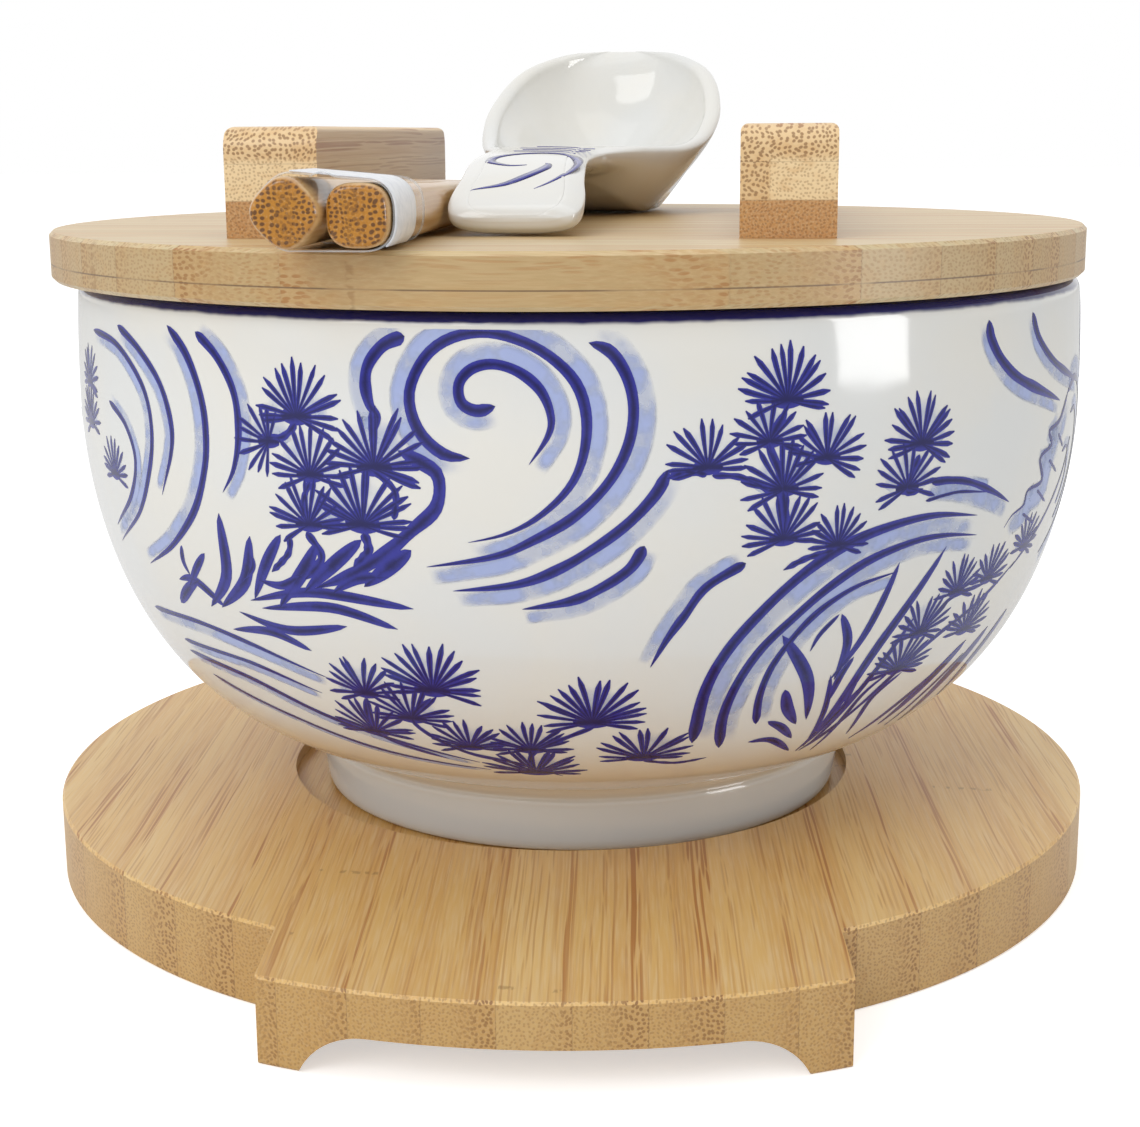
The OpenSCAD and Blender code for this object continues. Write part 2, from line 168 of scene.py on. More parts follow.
class Finish(Nodes):
    """A new material. Its patterns lie turned on the piece by an angle."""

    def __init__(self, name, turn=0.0):
        self.material = bpy.data.materials.new(name)
        self.material.use_nodes = True
        self.turn = turn
        super().__init__(self.material.node_tree)

    @cached_property
    def place(self):
        """The piece's own place in mm, with X and Y turned back."""
        place = self.add("ShaderNodeTexCoord").outputs["Object"]
        mapped = self.add("ShaderNodeMapping", {"vector_type": "POINT"},
                          {"Vector": place, "Rotation": (0, 0, self.turn), "Scale": (1 / MM,) * 3})
        return mapped.outputs[0]

    def join(self, x, y, z):
        """A vector from three numbers."""
        return self.add("ShaderNodeCombineXYZ", None, {0: x, 1: y, 2: z}).outputs[0]

    def split(self, vector):
        """The three numbers of a vector."""
        return [Value(self, part) for part in self.add("ShaderNodeSeparateXYZ", None, {0: vector}).outputs]

    def mark(self, name):
        """The mesh's attribute of this name."""
        return Value(self, self.add("ShaderNodeAttribute", {"attribute_name": name}).outputs["Fac"])

    def noise(self, scale=1.0, detail=2.0, roughness=0.5, place=None):
        """Smooth noise from 0 to 1 at the piece's own place, or at another."""
        place = self.place if place is None else place
        node = self.add("ShaderNodeTexNoise", None,
                        {"Vector": place, "Scale": scale, "Detail": detail, "Roughness": roughness})
        return Value(self, node.outputs[0])

    def noise_at(self, x, y, z, detail=1.0, roughness=0.5):
        """Smooth noise from 0 to 1 at a place that three numbers give."""
        return self.noise(1.0, detail, roughness, self.join(x, y, z))

    def layered(self, colour, *layers):
        """A colour with others laid over it in turn, each given as its share and itself."""
        for share, over in layers:
            colour = self.blend(share, colour, over)
        return colour

    def fibre_dots(self, u, v, crowd, kinds, soft, randomness):
        """Round fibre ends in the plane across the grain: sparse ones, and others where they
        crowd. A kind is the spacing of its cells in mm and a dot's size as a share of it."""
        masks = []
        for spacing, core in kinds:
            cells = self.add("ShaderNodeTexVoronoi", {"voronoi_dimensions": "2D"},
                             {"Vector": self.join(u / spacing, v / spacing, 0.0), "Scale": 1.0,
                              "Randomness": randomness})
            masks.append(eased(Value(self, cells.outputs["Distance"]), core + 0.13, core - soft))
        return masks[0] * (1 - crowd) + masks[1] * crowd

    def end_grain(self, face, axis, low, high):
        """1 on faces cut across the grain's axis and 0 along it."""
        facing = self.add("ShaderNodeVectorMath", {"operation": "DOT_PRODUCT"}, {0: face, 1: axis})
        return eased(abs(Value(self, facing.outputs["Value"])), low, high)

    def finished(self, height=None, strength=0.0, depth=0.0, **inputs):
        """The material, with inputs of its shader filled and a height from 0 to 1 fed through
        a Bump node, depth in mm, to its normal. An underscore in a name is a space."""
        shader = self.tree.nodes["Principled BSDF"]
        for name, value in inputs.items():
            self.fill(shader.inputs[name.replace("_", " ")], value)
        if height is not None:
            bump = self.add("ShaderNodeBump", None,
                            {"Strength": strength, "Distance": depth * MM, "Height": height})
            self.fill(shader.inputs["Normal"], bump.outputs[0])
        return self.material


def tint(red, green, blue):
    """A colour written as it should look on screen, 0 to 255, as linear light."""
    screen = np.array([red, green, blue]) / 255
    light = np.where(screen > 0.04045, ((screen + 0.055) / 1.055) ** 2.4, screen / 12.92)
    return (*light.tolist(), 1.0)


# Materials

# Levels between which the bowl's glaze changes, in mm
# The warm levels carry painted light: a warm reflection of the bamboo tray, a little darker, low on the
# bowl's wall
REFLECTION_LEVELS = (RECESS_Z + 26, RECESS_Z + 11)
FOOT_LEVELS = (RECESS_Z + 11, RECESS_Z + 7)
BARE_LEVELS = (RECESS_Z + 0.5, RECESS_Z + 0.25)
LINE_LEVELS = (RIM_Z - 1.4, RIM_Z - 0.8)
REFLECTION_SHARE = 0.65
GLAZE_ROUGHNESS = 0.055

# Fibre dots, sparse and crowded: the spacing in mm and a dot's size as a share of it
BAMBOO_DOTS = ((0.54, 0.26), (0.66, 0.3))
STICK_DOTS = ((0.86, 0.29), (0.7, 0.29))

# The dense band in the bars' middle layer, in mm to the right of the lid's middle
BAND_FADE = (33.4, 33.1)
BAND_START = (28, 29)

# How far a strip's knot may lie from the middle, in mm
KNOT_REACH = 170


def glazed(name, colours, painted):
    """White glazed porcelain. A painted piece has a dark line on its rim, a painted warm reflection of
    the bamboo tray low on its wall that also shades it a little, a bluish foot and a bare ring under it."""
    finish = Finish(name)
    speck = finish.noise(2.2)
    rough = GLAZE_ROUGHNESS + 0.04 * speck
    layers = [(eased(finish.noise(0.05, 3.0), 0.3, 0.7), colours.glaze_warm)]
    if painted:
        height = finish.split(finish.place)[2]
        bare = eased(height, *BARE_LEVELS)
        # Painted reflection of the bamboo tray: a warm, slightly darker tinge low on the wall
        layers.append((eased(height, *REFLECTION_LEVELS) * REFLECTION_SHARE, colours.tray_reflection))
        layers.append((eased(height, *FOOT_LEVELS), colours.foot_glaze))
        layers.append((eased(height + 0.5 * finish.noise(0.25), *LINE_LEVELS), colours.rim_line))
        layers.append((bare, colours.bare_clay))
        rough = rough + 0.55 * bare
    return finish.finished(finish.noise(0.09, 1.0) + 0.02 * speck, 0.3, 0.35, Roughness=rough,
                           Base_Color=finish.layered(colours.glaze, *layers), Specular_IOR_Level=0.5)


def underglaze_ink(name, colours):
    """Cobalt brushwork under the glaze: deep in the middle of a stroke, thinner and more
    violet at its edges and its tail, which the attribute called depth says."""
    finish = Finish(name)
    grain = finish.noise(5.0)
    amount = eased(finish.mark("depth") + 0.7 * finish.noise(0.55, 3.0, 0.6) + 0.25 * grain, 0.55, 1.45)
    return finish.finished(Base_Color=finish.blend(amount, colours.ink_thin, colours.ink_deep),
                           Roughness=GLAZE_ROUGHNESS + 0.04 * grain)


def pale_wash(name, colours):
    """Diluted cobalt laid beside the strokes, in patches: it thins out over its edges, where
    the attribute called depth goes to nothing."""
    finish = Finish(name)
    patch = finish.noise(0.16, 3.0, 0.6)
    edge = eased(finish.mark("depth") + 0.3 * (patch - 0.5), 0.0, 0.95)
    return finish.finished(Base_Color=finish.blend(patch, colours.wash, colours.wash_deep),
                           Roughness=0.06 + 0.02 * patch, Alpha=edge * (0.35 + 0.6 * eased(patch, 0.36, 0.6)))


def bamboo(name, colours, lay, turn, seed):
    """Glued bamboo as a solid pattern in mm. The fibres are dots across the grain and streaks
    along it: a cell pattern in the plane across the grain whose cells wander slowly along it.
    Dots crowd and darken towards one side of each strip, where the stem's skin was. Strips
    differ in tone; the tray and the lid also have broken knots, and the lid its ply line. Upright sides get
    painted shade."""
    finish = Finish(name, turn)
    x, y, z = finish.split(finish.place)
    across, along, up = {"tray": (x, y, z), "lid": (y, x, z), "bar": (z, y, x)}[lay]
    width, first = STRIPS[lay]
    row = (across - first) / width
    strip = worked("FLOOR", row)
    skin = row - strip
    chance = finish.add("ShaderNodeTexWhiteNoise", {"noise_dimensions": "1D"}, {"W": strip + (seed + 0.5)})
    tone = Value(finish, chance.outputs["Value"])
    second = finish.split(chance.outputs["Color"])[1]

    face = finish.add("ShaderNodeNewGeometry").outputs["Normal"]
    sine, cosine = math.sin(turn), math.cos(turn)
    end = finish.end_grain(face, (cosine, -sine, 0) if lay == "lid" else (sine, cosine, 0), 0.15, 0.75)
    # Upright faces get painted shade, darker than the tops because less light falls on them
    upright = eased(abs(finish.split(face)[2]), 0.7, 0.3)

    # The fibres wander slowly along the grain, each strip in its own way
    drift = finish.noise_at(across / 2.6 + 40 * tone, along / 42, up / 9)
    sway = finish.noise_at(along / 60, up / 30, strip * 3.7 + seed)
    cell_across = across + 1.6 * (sway - 0.5)
    cell_up = up + 2.6 * (drift - 0.5) + 30 * tone
    if lay == "bar":
        band = eased(row, 1.0, 1.02) * eased(up, *BAND_FADE) * eased(up, *BAND_START)
        crowd = finish.add("ShaderNodeClamp", None, {"Value": eased(row, 2.0, 2.2) + band})
        crowd = Value(finish, crowd.outputs[0])
        tone_share = 1 - eased(row, 0.98, 1.02)
        # On the bars the painted shade lies only on the long sides, not on the ends
        upright = upright * (1 - end) * 0.45
        end_crowd = 0.3
    else:
        crowd = eased(skin + 0.4 * (second - 0.5), 0.3, 0.95)
        tone_share = 0.15 + 0.7 * tone
        upright = upright * 0.46
        end_crowd = 0.45
    dots = finish.fibre_dots(cell_across, cell_up, crowd, BAMBOO_DOTS, 0.07, 0.75)

    # Fine fibres, broad bands, clusters of streaks, and how dark a dot and a streak are
    fibre = finish.noise_at(cell_across * 3.2, up * 3.2, along / 9, 2.0, 0.6)
    broad = finish.noise_at(across / 1.3, up / 3, along / 38, 2.0)
    cluster = eased(finish.noise_at(across / 1.9, up / 6, along / 90 + seed), 0.42, 0.6)
    long_amount = 0.14 + 0.74 * cluster * (0.4 + 0.6 * crowd)
    end_amount = 0.4 + end_crowd * crowd + 0.1 * second
    seam = eased(abs(skin - 0.5), 0.5 - 0.12 / width, 0.5 - 0.02 / width)
    layers = [
        (tone_share, getattr(colours, lay + "_tan")),
        (eased(broad, 0.45, 0.75) * 0.35, colours.bamboo_warm),
        (0.35 * crowd, colours.bamboo_warm),
        (eased(fibre, 0.35, 0.8) * 0.45, colours.fibre_light),
        (dots * (long_amount * (1 - end) + end_amount * end), finish.blend(end, colours.streak, colours.dot)),
    ]
    if lay != "bar":
        # A knot crosses each strip once, as a row of dashes
        knot = (second * 2 - 1) * KNOT_REACH + 26 * tone
        ring = eased(abs(along - knot + 1.4 * (skin - 0.5) + 0.8 * broad), 0.8, 0.2)
        dashes = eased(finish.noise_at(across * 1.1, along / 3, up), 0.5, 0.58)
        layers.append((ring * dashes * 0.45, colours.dot))
    # Painted shade on the upright sides
    layers.append((upright, colours.bar_side_shade if lay == "bar" else colours.strip_side_shade))
    layers.append((seam * (0.03 + 0.2 * end), colours.seam))
    if lay == "lid":
        broken = eased(finish.noise_at(across / 14, along / 14, seed), 0.42, 0.55)
        layers.append((eased(abs(z - PLY_Z), 0.16, 0.05) * (0.25 + 0.5 * broken), colours.seam))
    return finish.finished(fibre * 0.5 - dots * 0.6 - seam * 0.3, 0.35, 0.08,
                           Base_Color=finish.layered(getattr(colours, lay + "_pale"), *layers),
                           Roughness=0.42 + 0.14 * fibre, Coat_Weight=0.34, Coat_Roughness=0.28)


def lacquered_stick(name, colours, turn, axis_x, crowd_side):
    """A lacquered bamboo chopstick: close brown fibre dots on its end, fine streaks along it."""
    finish = Finish(name, turn)
    x, y, z = finish.split(finish.place)
    drift = finish.noise_at(x / 2, y / 34, z / 2)
    crowd = eased((x - axis_x) * crowd_side, -2.5, 3.5)
    dots = finish.fibre_dots(x + 0.9 * (drift - 0.5), (z + 0.9 * (drift - 0.5)) * 1.15, crowd,
                             STICK_DOTS, 0.05, 0.55)
    face = finish.add("ShaderNodeNewGeometry").outputs["Normal"]
    end = finish.end_grain(face, (math.sin(turn), math.cos(turn), 0), 0.35, 0.8)
    fibre = finish.noise_at(x * 3, z * 3, y / 12, 3.0, 0.6)
    patch = finish.noise_at(x / 3, z / 3, y / 30, 2.0)
    colour = finish.layered(colours.stick_side, (end, colours.stick_end),
                            (eased(patch, 0.35, 0.75) * 0.5, colours.stick_deep),
                            (eased(fibre, 0.5, 0.8) * 0.3, colours.fibre_light),
                            (dots * (0.2 + 0.65 * end), finish.blend(end, colours.streak, colours.stick_dot)))
    return finish.finished(fibre * 0.4 - dots * 0.5, 0.2, 0.06, Base_Color=colour,
                           Roughness=0.3 - 0.1 * end + 0.1 * fibre, Coat_Weight=0.5,
                           Coat_Roughness=0.05, Specular_IOR_Level=0.3)


def clear_film(name, colours):
    """Thin clear film, milky where it is creased and at its cut ends, which the attribute
    called hem marks."""
    finish = Finish(name)
    crease = finish.noise(0.35, 3.0, 0.6)
    milky = eased(crease, 0.55, 0.8)
    colour = finish.blend(milky, colours.film, colours.film_milky)
    return finish.finished(crease, 0.35, 0.25, Base_Color=colour, Roughness=0.08 + 0.1 * milky,
                           Alpha=0.04 + 0.08 * milky + 0.4 * finish.mark("hem"))


def label_paper(name, colours):
    """Blank coated paper with a faint mottle and soft waves."""
    finish = Finish(name)
    mottle = finish.noise(0.8, 3.0)
    colour = finish.blend(eased(mottle, 0.3, 0.8), colours.label, colours.label_shade)
    return finish.finished(mottle, 0.3, 0.12, Base_Color=colour, Roughness=0.28 + 0.15 * mottle)


# Meshes

def grid_quads(rows, columns):
    """Rows of four point numbers for rings of points, one after the other."""
    r, c = np.meshgrid(np.arange(rows - 1), np.arange(columns), indexing="ij")
    here = r * columns + c
    beside = r * columns + (c + 1) % columns
    return np.stack([here, beside, beside + columns, here + columns], -1).reshape(-1, 4)


def fan_triangles(ring, middle):
    """Triangles from a ring of point numbers to one middle point."""
    after = np.roll(ring, -1)
    return np.stack([after, ring, np.full_like(ring, middle)], -1)


def capped(rings, middles=None):
    """Points, quads and triangles of rings joined in a row, with a fan from each end ring to
    a middle point."""
    rows, columns = rings.shape[:2]
    count = rows * columns
    middles = rings[[0, -1]].mean(1) if middles is None else middles
    ring = np.arange(columns)
    triangles = np.concatenate([fan_triangles(ring, count),
                                fan_triangles(count - columns + ring, count + 1)[:, ::-1]])
    return np.concatenate([rings.reshape(-1, 3), middles]), grid_quads(rows, columns), triangles


def make_piece(name, points, quads, triangles, material, body, slot, replaces=(), marks=None, normals=None):
    """Puts arrays of points in mm and of faces into a mesh, turns its faces outwards by the
    sign of the volume they enclose, and lets it ride on a body."""
    halves = np.concatenate([quads[:, [0, 1, 2]], quads[:, [0, 2, 3]], triangles])
    a, b, c = (points[halves[:, k]] for k in range(3))
    if np.einsum("ij,ij->i", a, np.cross(b, c)).sum() < 0:
        quads = quads[:, ::-1]
        triangles = triangles[:, ::-1]
    corners = np.concatenate([quads.ravel(), triangles.ravel()]).astype(np.int32)
    starts = np.concatenate([np.arange(len(quads)) * 4, len(quads) * 4 + np.arange(len(triangles)) * 3])
    mesh = bpy.data.meshes.new(name)
    mesh.vertices.add(len(points))
    mesh.vertices.foreach_set("co", (points * MM).astype(np.float32).ravel())
    mesh.loops.add(len(corners))
    mesh.loops.foreach_set("vertex_index", corners)
    mesh.polygons.add(len(starts))
    mesh.polygons.foreach_set("loop_start", starts.astype(np.int32))
    mesh.polygons.foreach_set("use_smooth", np.ones(len(starts), bool))
    mesh.update(calc_edges=True)
    for mark, values in (marks or {}).items():
        attribute = mesh.attributes.new(mark, "FLOAT", "POINT")
        attribute.data.foreach_set("value", values.astype(np.float32).ravel())
    if normals is not None:
        mesh.normals_split_custom_set_from_vertices(normals.tolist())
    mesh.materials.append(material)
    piece = bpy.data.objects.new(name, mesh)
    bpy.context.scene.collection.objects.link(piece)
    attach(piece, body)
    if replaces:
        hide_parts(*replaces)


NO_TRIANGLES = np.zeros((0, 3), int)


def through(rows, per_span):
    """A smooth cubic through rows of values, per_span steps from each row to the next."""
    rows = np.asarray(rows, float)
    padded = np.concatenate([rows[:1], rows, rows[-1:]])
    t = (np.arange(per_span) / per_span)[None, :, None]
    a, b, c, d = (padded[k:k + len(rows) - 1, None, :] for k in range(4))
    curve = (b + t * (c - a) / 2 + t * t * (a - 2.5 * b + 2 * c - d / 2)
             + t ** 3 * (1.5 * b - a / 2 - 1.5 * c + d / 2))
    return np.concatenate([curve.reshape(-1, rows.shape[1]), rows[-1:]])


def ways(curve):
    """The way along a curve from its start to each of its points."""
    return np.concatenate([[0], np.cumsum(np.linalg.norm(np.diff(curve, axis=0), axis=1))])


def even_steps(curve, count):
    """The same curve at count points an equal way apart."""
    way = ways(curve)
    wanted = np.linspace(0, way[-1], count)
    return np.stack([np.interp(wanted, way, curve[:, k]) for k in range(curve.shape[1])], -1)


def softened(outline, times):
    """Cuts the corners of an open outline at a quarter of each side, times over."""
    for _ in range(times):
        first = outline[:-1] * 0.75 + outline[1:] * 0.25
        second = outline[:-1] * 0.25 + outline[1:] * 0.75
        outline = np.concatenate([outline[:1], np.stack([first, second], 1).reshape(-1, 2), outline[-1:]])
    return outline


def sideways(paths, scale=1):
    """Unit directions to the side of each path, in a sheet whose first axis has a scale."""
    step = np.gradient(paths, axis=-2)
    across = np.stack([-step[..., 1], step[..., 0] * scale], -1)
    return across / np.linalg.norm(across, axis=-1, keepdims=True)


def signed_power(values, power):
    """A power of the values' sizes with their signs kept."""
    return np.sign(values) * np.abs(values) ** power


# The bowl

# Steps along the wall's two curves and its sheet, and the rows and columns of its mesh
UPPER_STEPS = 39
LOWER_STEPS = 400
SHEET_STEPS = 600
WALL_ROWS = 104
INSIDE_ROWS = 60
LIP_ROWS = 10
COLUMNS = 288


def wall_curve(sizes, inset, floor_z, reach):
    """Radius and height of the wall from the lip down: nearly straight above the widest
    level, and below it a superellipse, radius = R cos(t)^(2/n), drop = D sin(t)."""
    radius = sizes.bowl_diameter / 2 - inset
    widest = sizes.bowl_height - sizes.bulge_drop
    top = sizes.bowl_height - sizes.wall / 2
    rise = np.linspace(1, 0, UPPER_STEPS + 1)[:-1]
    upper = np.stack([radius - sizes.rim_draw * rise ** 2, widest + (top - widest) * rise], -1)
    t = np.linspace(0, math.acos((reach / radius) ** (sizes.fullness / 2)), LOWER_STEPS)
    drop = (widest - floor_z) * np.sin(t)
    lower = np.stack([radius * np.cos(t) ** (2 / sizes.fullness), widest - drop], -1)
    return np.concatenate([upper, lower])


class Wall:
    """The painted outside of the bowl as a sheet: azimuth in radians from the front and
    way down the wall from the lip in mm give a point and the direction it faces."""

    def __init__(self, sizes):
        curve = wall_curve(sizes, 0, sizes.foot_hollow, sizes.foot_diameter / 2)
        self.curve = even_steps(curve, SHEET_STEPS)
        self.curve[:, 1] += RECESS_Z
        step = np.gradient(self.curve, axis=0)
        self.facing = np.stack([-step[:, 1], step[:, 0]], -1) / np.linalg.norm(step, axis=1)[:, None]
        self.way = ways(self.curve)

    def radius(self, down):
        """Distance from the bowl's axis at a way down the wall."""
        return np.interp(down, self.way, self.curve[:, 0])

    def down(self, height):
        """Way down the wall at a height above the table."""
        return np.interp(-height, -self.curve[:, 1], self.way)

    def place(self, azimuth, down, lift):
        """Points lifted off the wall, and the way the wall faces there."""
        r, z = (np.interp(down, self.way, self.curve[:, k]) for k in range(2))
        out, rise = (np.interp(down, self.way, self.facing[:, k]) for k in range(2))
        around = np.stack([np.sin(azimuth), -np.cos(azimuth)], -1)
        points = np.concatenate([around * (r + lift * out)[..., None], (z + lift * rise)[..., None]], -1)
        points[..., 0] += BOWL_X
        facing = np.concatenate([around * out[..., None], rise[..., None]], -1)
        return points, facing


def add_bowl(sizes, colours):
    """The bowl, turned about its upright axis. Its profile runs from the middle of the
    underside over the foot ring, up the wall, over the round lip and down inside to the
    middle of the floor."""
    foot = sizes.foot_diameter / 2
    inside_foot = foot - sizes.foot_wall
    hollow = sizes.foot_hollow
    floor = hollow + sizes.floor
    ease = sizes.foot_wall / 6
    seat = sizes.foot_height
    lip = sizes.wall / 2
    outer = even_steps(wall_curve(sizes, 0, hollow, foot), WALL_ROWS)
    inner = even_steps(wall_curve(sizes, sizes.wall, floor, foot / 4), INSIDE_ROWS)
    turn = np.linspace(0, math.pi, LIP_ROWS + 2)[1:-1]
    crown = outer[0] + lip * np.stack([np.cos(turn) - 1, np.sin(turn)], -1)
    # Corners from the middle of the underside to the wall, distances from the axis and heights
    base = softened(np.array([
        [0.4, hollow], [inside_foot * 0.6, hollow], [inside_foot - 1.6, hollow], [inside_foot, hollow - 0.1],
        [inside_foot, hollow - 1.8], [inside_foot, ease], [inside_foot + ease, 0], [foot - 2 * ease, 0],
        [foot - ease, ease], [foot, seat - 1.4], [foot - 0.1, seat - 0.6], [foot - 0.5, seat - 0.1],
        [foot - 0.15, seat + 0.5], [foot, seat + 0.9], outer[-1]]), 2)
    radius, height = np.concatenate([base[:-1], outer[::-1], crown, inner]).T[..., None]
    angle = np.arange(COLUMNS) * 2 * math.pi / COLUMNS
    rings = np.stack([BOWL_X + radius * np.sin(angle), -radius * np.cos(angle),
                      RECESS_Z + np.repeat(height, COLUMNS, 1)], -1)
    middles = [[BOWL_X, 0, RECESS_Z + hollow], [BOWL_X, 0, RECESS_Z + floor]]
    make_piece("donburi_bowl", *capped(rings, middles), glazed("bowl_glaze", colours, True), "bowl",
               "bowl_porcelain", ["bowl"])


# The brushwork: places are degrees from the front, to the right, and mm above the table

# The front's pattern is painted this often round the bowl, turned by PATTERN_TURN. An echo of
# its middle, turned by ECHO_TURN, fills the sides: these azimuths, below and above these heights
REPEATS = 2
PATTERN_TURN = -1.2
ECHO_TURN = 95
ECHO_AZIMUTHS = (-16, 10)
ECHO_BELOW = 45
ECHO_ABOVE = 66

# How far strokes and washes stand off the glaze and their closed backs lie in it, in mm
INK_LIFT = 0.045
WASH_LIFT = 0.015
KEEL = -0.05

# Points across and along the strokes, and the seed of the needles' draws
INK_COLUMNS = 4
WASH_COLUMNS = 8
LINE_STEPS = 60
LEAF_STEPS = 16
TWIG_STEPS = 36
NEEDLE_STEPS = 7
NEEDLE_SEED = 7
TUFT_STEPS = 8
SPAN_STEPS = 12

# Each wave: its points, its width, the side its wash lies on and the wash's width
WAVES = (
    (((-9, 77.5), (-11.5, 78), (-13.8, 81), (-14.6, 85.5), (-13.2, 90), (-10.8, 92.6), (-7.5, 93.5),
      (-4, 92.3), (-1.2, 90), (0.8, 86.8), (1.6, 82.5), (1.2, 77.5), (-0.2, 73.5), (-3, 69.8),
      (-6, 67.6), (-9.4, 66.4)), 1.5, -1, 2.2),
    (((-6.6, 84.2), (-8.3, 83.6), (-9.7, 84.6), (-9.9, 87), (-8.7, 88.9), (-6.7, 89.5), (-4.4, 88.5),
      (-2.5, 86.2), (-1.6, 83), (-1.9, 80.4), (-3.6, 76.8)), 1.45, -1, 2.2),
    (((1.8, 92.2), (3.8, 91), (5.3, 87.6), (5.8, 83.4), (5.2, 78.8), (3.4, 74.2), (0.4, 70),
      (-3.4, 66.8), (-7, 64.6), (-13.6, 62.8)), 1.45, -1, 2.4),
    (((9, 76), (7.9, 73), (5.6, 69.4), (2.7, 66.2), (-1, 63), (-5, 60.8), (-11.2, 59.6)), 1.5, -1, 2.2),
    (((6.9, 66), (5.6, 63), (3.1, 60.5), (0, 58.5), (-4.6, 57.3)), 1.5, -1, 2.0),
    (((-15, 92.8), (-17, 91.7), (-18.5, 89.3), (-18.9, 86.8), (-18.5, 84), (-17.7, 82.4), (-18.1, 80)),
     1.7, 1, 1.8),
    (((-61.4, 90), (-54, 88.8), (-48.5, 84), (-46.8, 78), (-48, 71.5), (-52, 64.5), (-60, 58.5)),
     1.0, 1, 1.5),
    (((-53.7, 91.5), (-49, 88.8), (-45, 84.5), (-43.2, 79), (-43.6, 74.5), (-46, 68.5)), 1.15, 1, 1.6),
    (((-43.5, 92.5), (-40.5, 89), (-38.5, 84), (-37.8, 79), (-38.3, 73.5), (-40.8, 67), (-46, 61),
      (-52.5, 56.8)), 1.3, 1, 1.9),
    (((-39, 92), (-36, 89), (-33.8, 84.5), (-33.3, 79), (-34.2, 74), (-36, 70.5)), 1.3, -1, 1.8),
    (((-56.6, 80.3), (-52.5, 77.5), (-50.8, 72.5), (-53.5, 66.5), (-60, 61)), 0.9, -1, 1.4),
    (((-57, 48.7), (-46, 49.3), (-37, 47.8), (-27.5, 44.4)), 0.9, 1, 1.8),
    (((-52, 44.8), (-39, 44.5), (-29.3, 41.5)), 0.8, 1, 1.4),
    (((-52.5, 42.8), (-40.5, 41.4), (-30, 37), (-20.5, 33.8), (-12, 31.2)), 1.0, 1, 1.3),
    (((-50, 39.4), (-37.5, 35.6), (-25, 31.6), (-11, 29.6)), 0.75, 1, 0.9),
    (((14.2, 35), (14.1, 43.5), (15.7, 50), (19, 56), (23, 61), (27.6, 64.5), (33, 66.3), (38.5, 66.7),
      (44.8, 65.5)), 1.75, 1, 2.6),
    (((18, 33.5), (17, 39), (17.5, 44.5), (19.4, 50), (22.5, 54.5), (26, 58.5), (30.3, 61.7), (35.6, 63.4),
      (40.2, 63.5), (45.4, 62.5)), 1.5, 1, 2.2),
    (((21.5, 37.5), (20.7, 42), (21, 46.5), (22.4, 50.5), (24.4, 54), (26.8, 56.5), (29.8, 58.3),
      (34.2, 59.4)), 1.15, 1, 2.0),
    (((16.7, 63), (13, 60), (11, 56), (9.4, 52.5), (8, 48.5)), 1.35, 1, 1.9),
    (((37, 71.5), (39.6, 71.4), (42.8, 70.6), (47.2, 68.4), (50.7, 66.2)), 1.1, 1, 2.6),
    (((36.5, 69), (41, 69.5), (46, 68.6)), 0.5, -1, 2.0),
    (((45, 92.6), (45.5, 89.8), (47.8, 86.3), (52, 83.2), (62, 79)), 1.7, 1, 1.8),
    (((53.6, 92.8), (55.4, 88.7), (60.6, 84.5), (70.6, 80.5)), 1.3, 1, 1.8),
    (((65.4, 79.6), (62.4, 76), (59, 75), (60.2, 72.8), (57, 71.4), (58.5, 67.8), (54.8, 67),
      (54.4, 65), (52, 64), (50.7, 62.4)), 0.7, -1, 3.6),
    (((65.4, 79.6), (69.4, 81.4), (73.6, 78.8), (75.8, 73.2), (75, 66.2), (71.4, 60), (65, 55)),
     1.0, -1, 3.0),
    (((67.6, 76.2), (70.6, 76.4), (72.4, 71.6), (71.4, 65), (67.4, 60)), 0.6, -1, 1.8),
    (((65, 70.8), (67.6, 71), (68.8, 66.6), (66.6, 62.4)), 0.5, -1, 1.4),
)

# Each pine tuft: azimuth, height, length of its needles, the way it opens and how wide, in
# degrees, and its number of needles
TUFTS = (
    (-26.3, 81.8, 7.8, 84, 216, 16), (-29.6, 78.2, 6.0, 165, 190, 11), (-25, 74.2, 7.0, 95, 215, 14),
    (-18.2, 75.8, 8.4, 82, 215, 17), (-25.6, 67.4, 7.0, 102, 205, 14), (-19.7, 68, 8.4, 88, 210, 17),
    (20.2, 84.2, 7.6, 90, 215, 16), (12.6, 76, 6.6, 98, 205, 13), (18.5, 79, 6.0, 96, 215, 12),
    (24.4, 76.4, 6.6, 72, 225, 14), (20, 72.6, 7.0, 95, 220, 15), (20.3, 65.9, 6.8, 97, 215, 14),
    (26.2, 64.4, 5.8, 82, 205, 13), (35.4, 77, 7.4, 82, 235, 17), (33.9, 71.2, 6.8, 98, 225, 13),
    (-14.9, 44.2, 8.4, 86, 205, 17), (-23.2, 42.6, 6.8, 98, 200, 13), (-18.4, 39, 7.2, 84, 205, 14),
    (-24.3, 35.6, 7.6, 88, 195, 14), (-12.4, 34.4, 6.6, 94, 205, 14), (2.2, 39.6, 8.6, 90, 205, 18),
    (-5.0, 34.4, 7.0, 92, 205, 14), (-5, 29.4, 8.4, 90, 190, 15), (8.6, 32.6, 8.0, 92, 200, 14),
    (44.3, 54.2, 6.0, 84, 205, 13), (50, 54.8, 6.0, 76, 200, 12), (40.1, 48.8, 6.6, 86, 210, 14),
    (49.2, 47, 6.8, 80, 205, 14), (39, 43.2, 7.0, 88, 215, 15), (57.3, 58, 5.6, 80, 210, 12),
    (-63.8, 82, 5.8, 80, 215, 12), (-64, 75.8, 6.4, 95, 215, 13), (-56.8, 69.4, 6.0, 85, 210, 12),
)

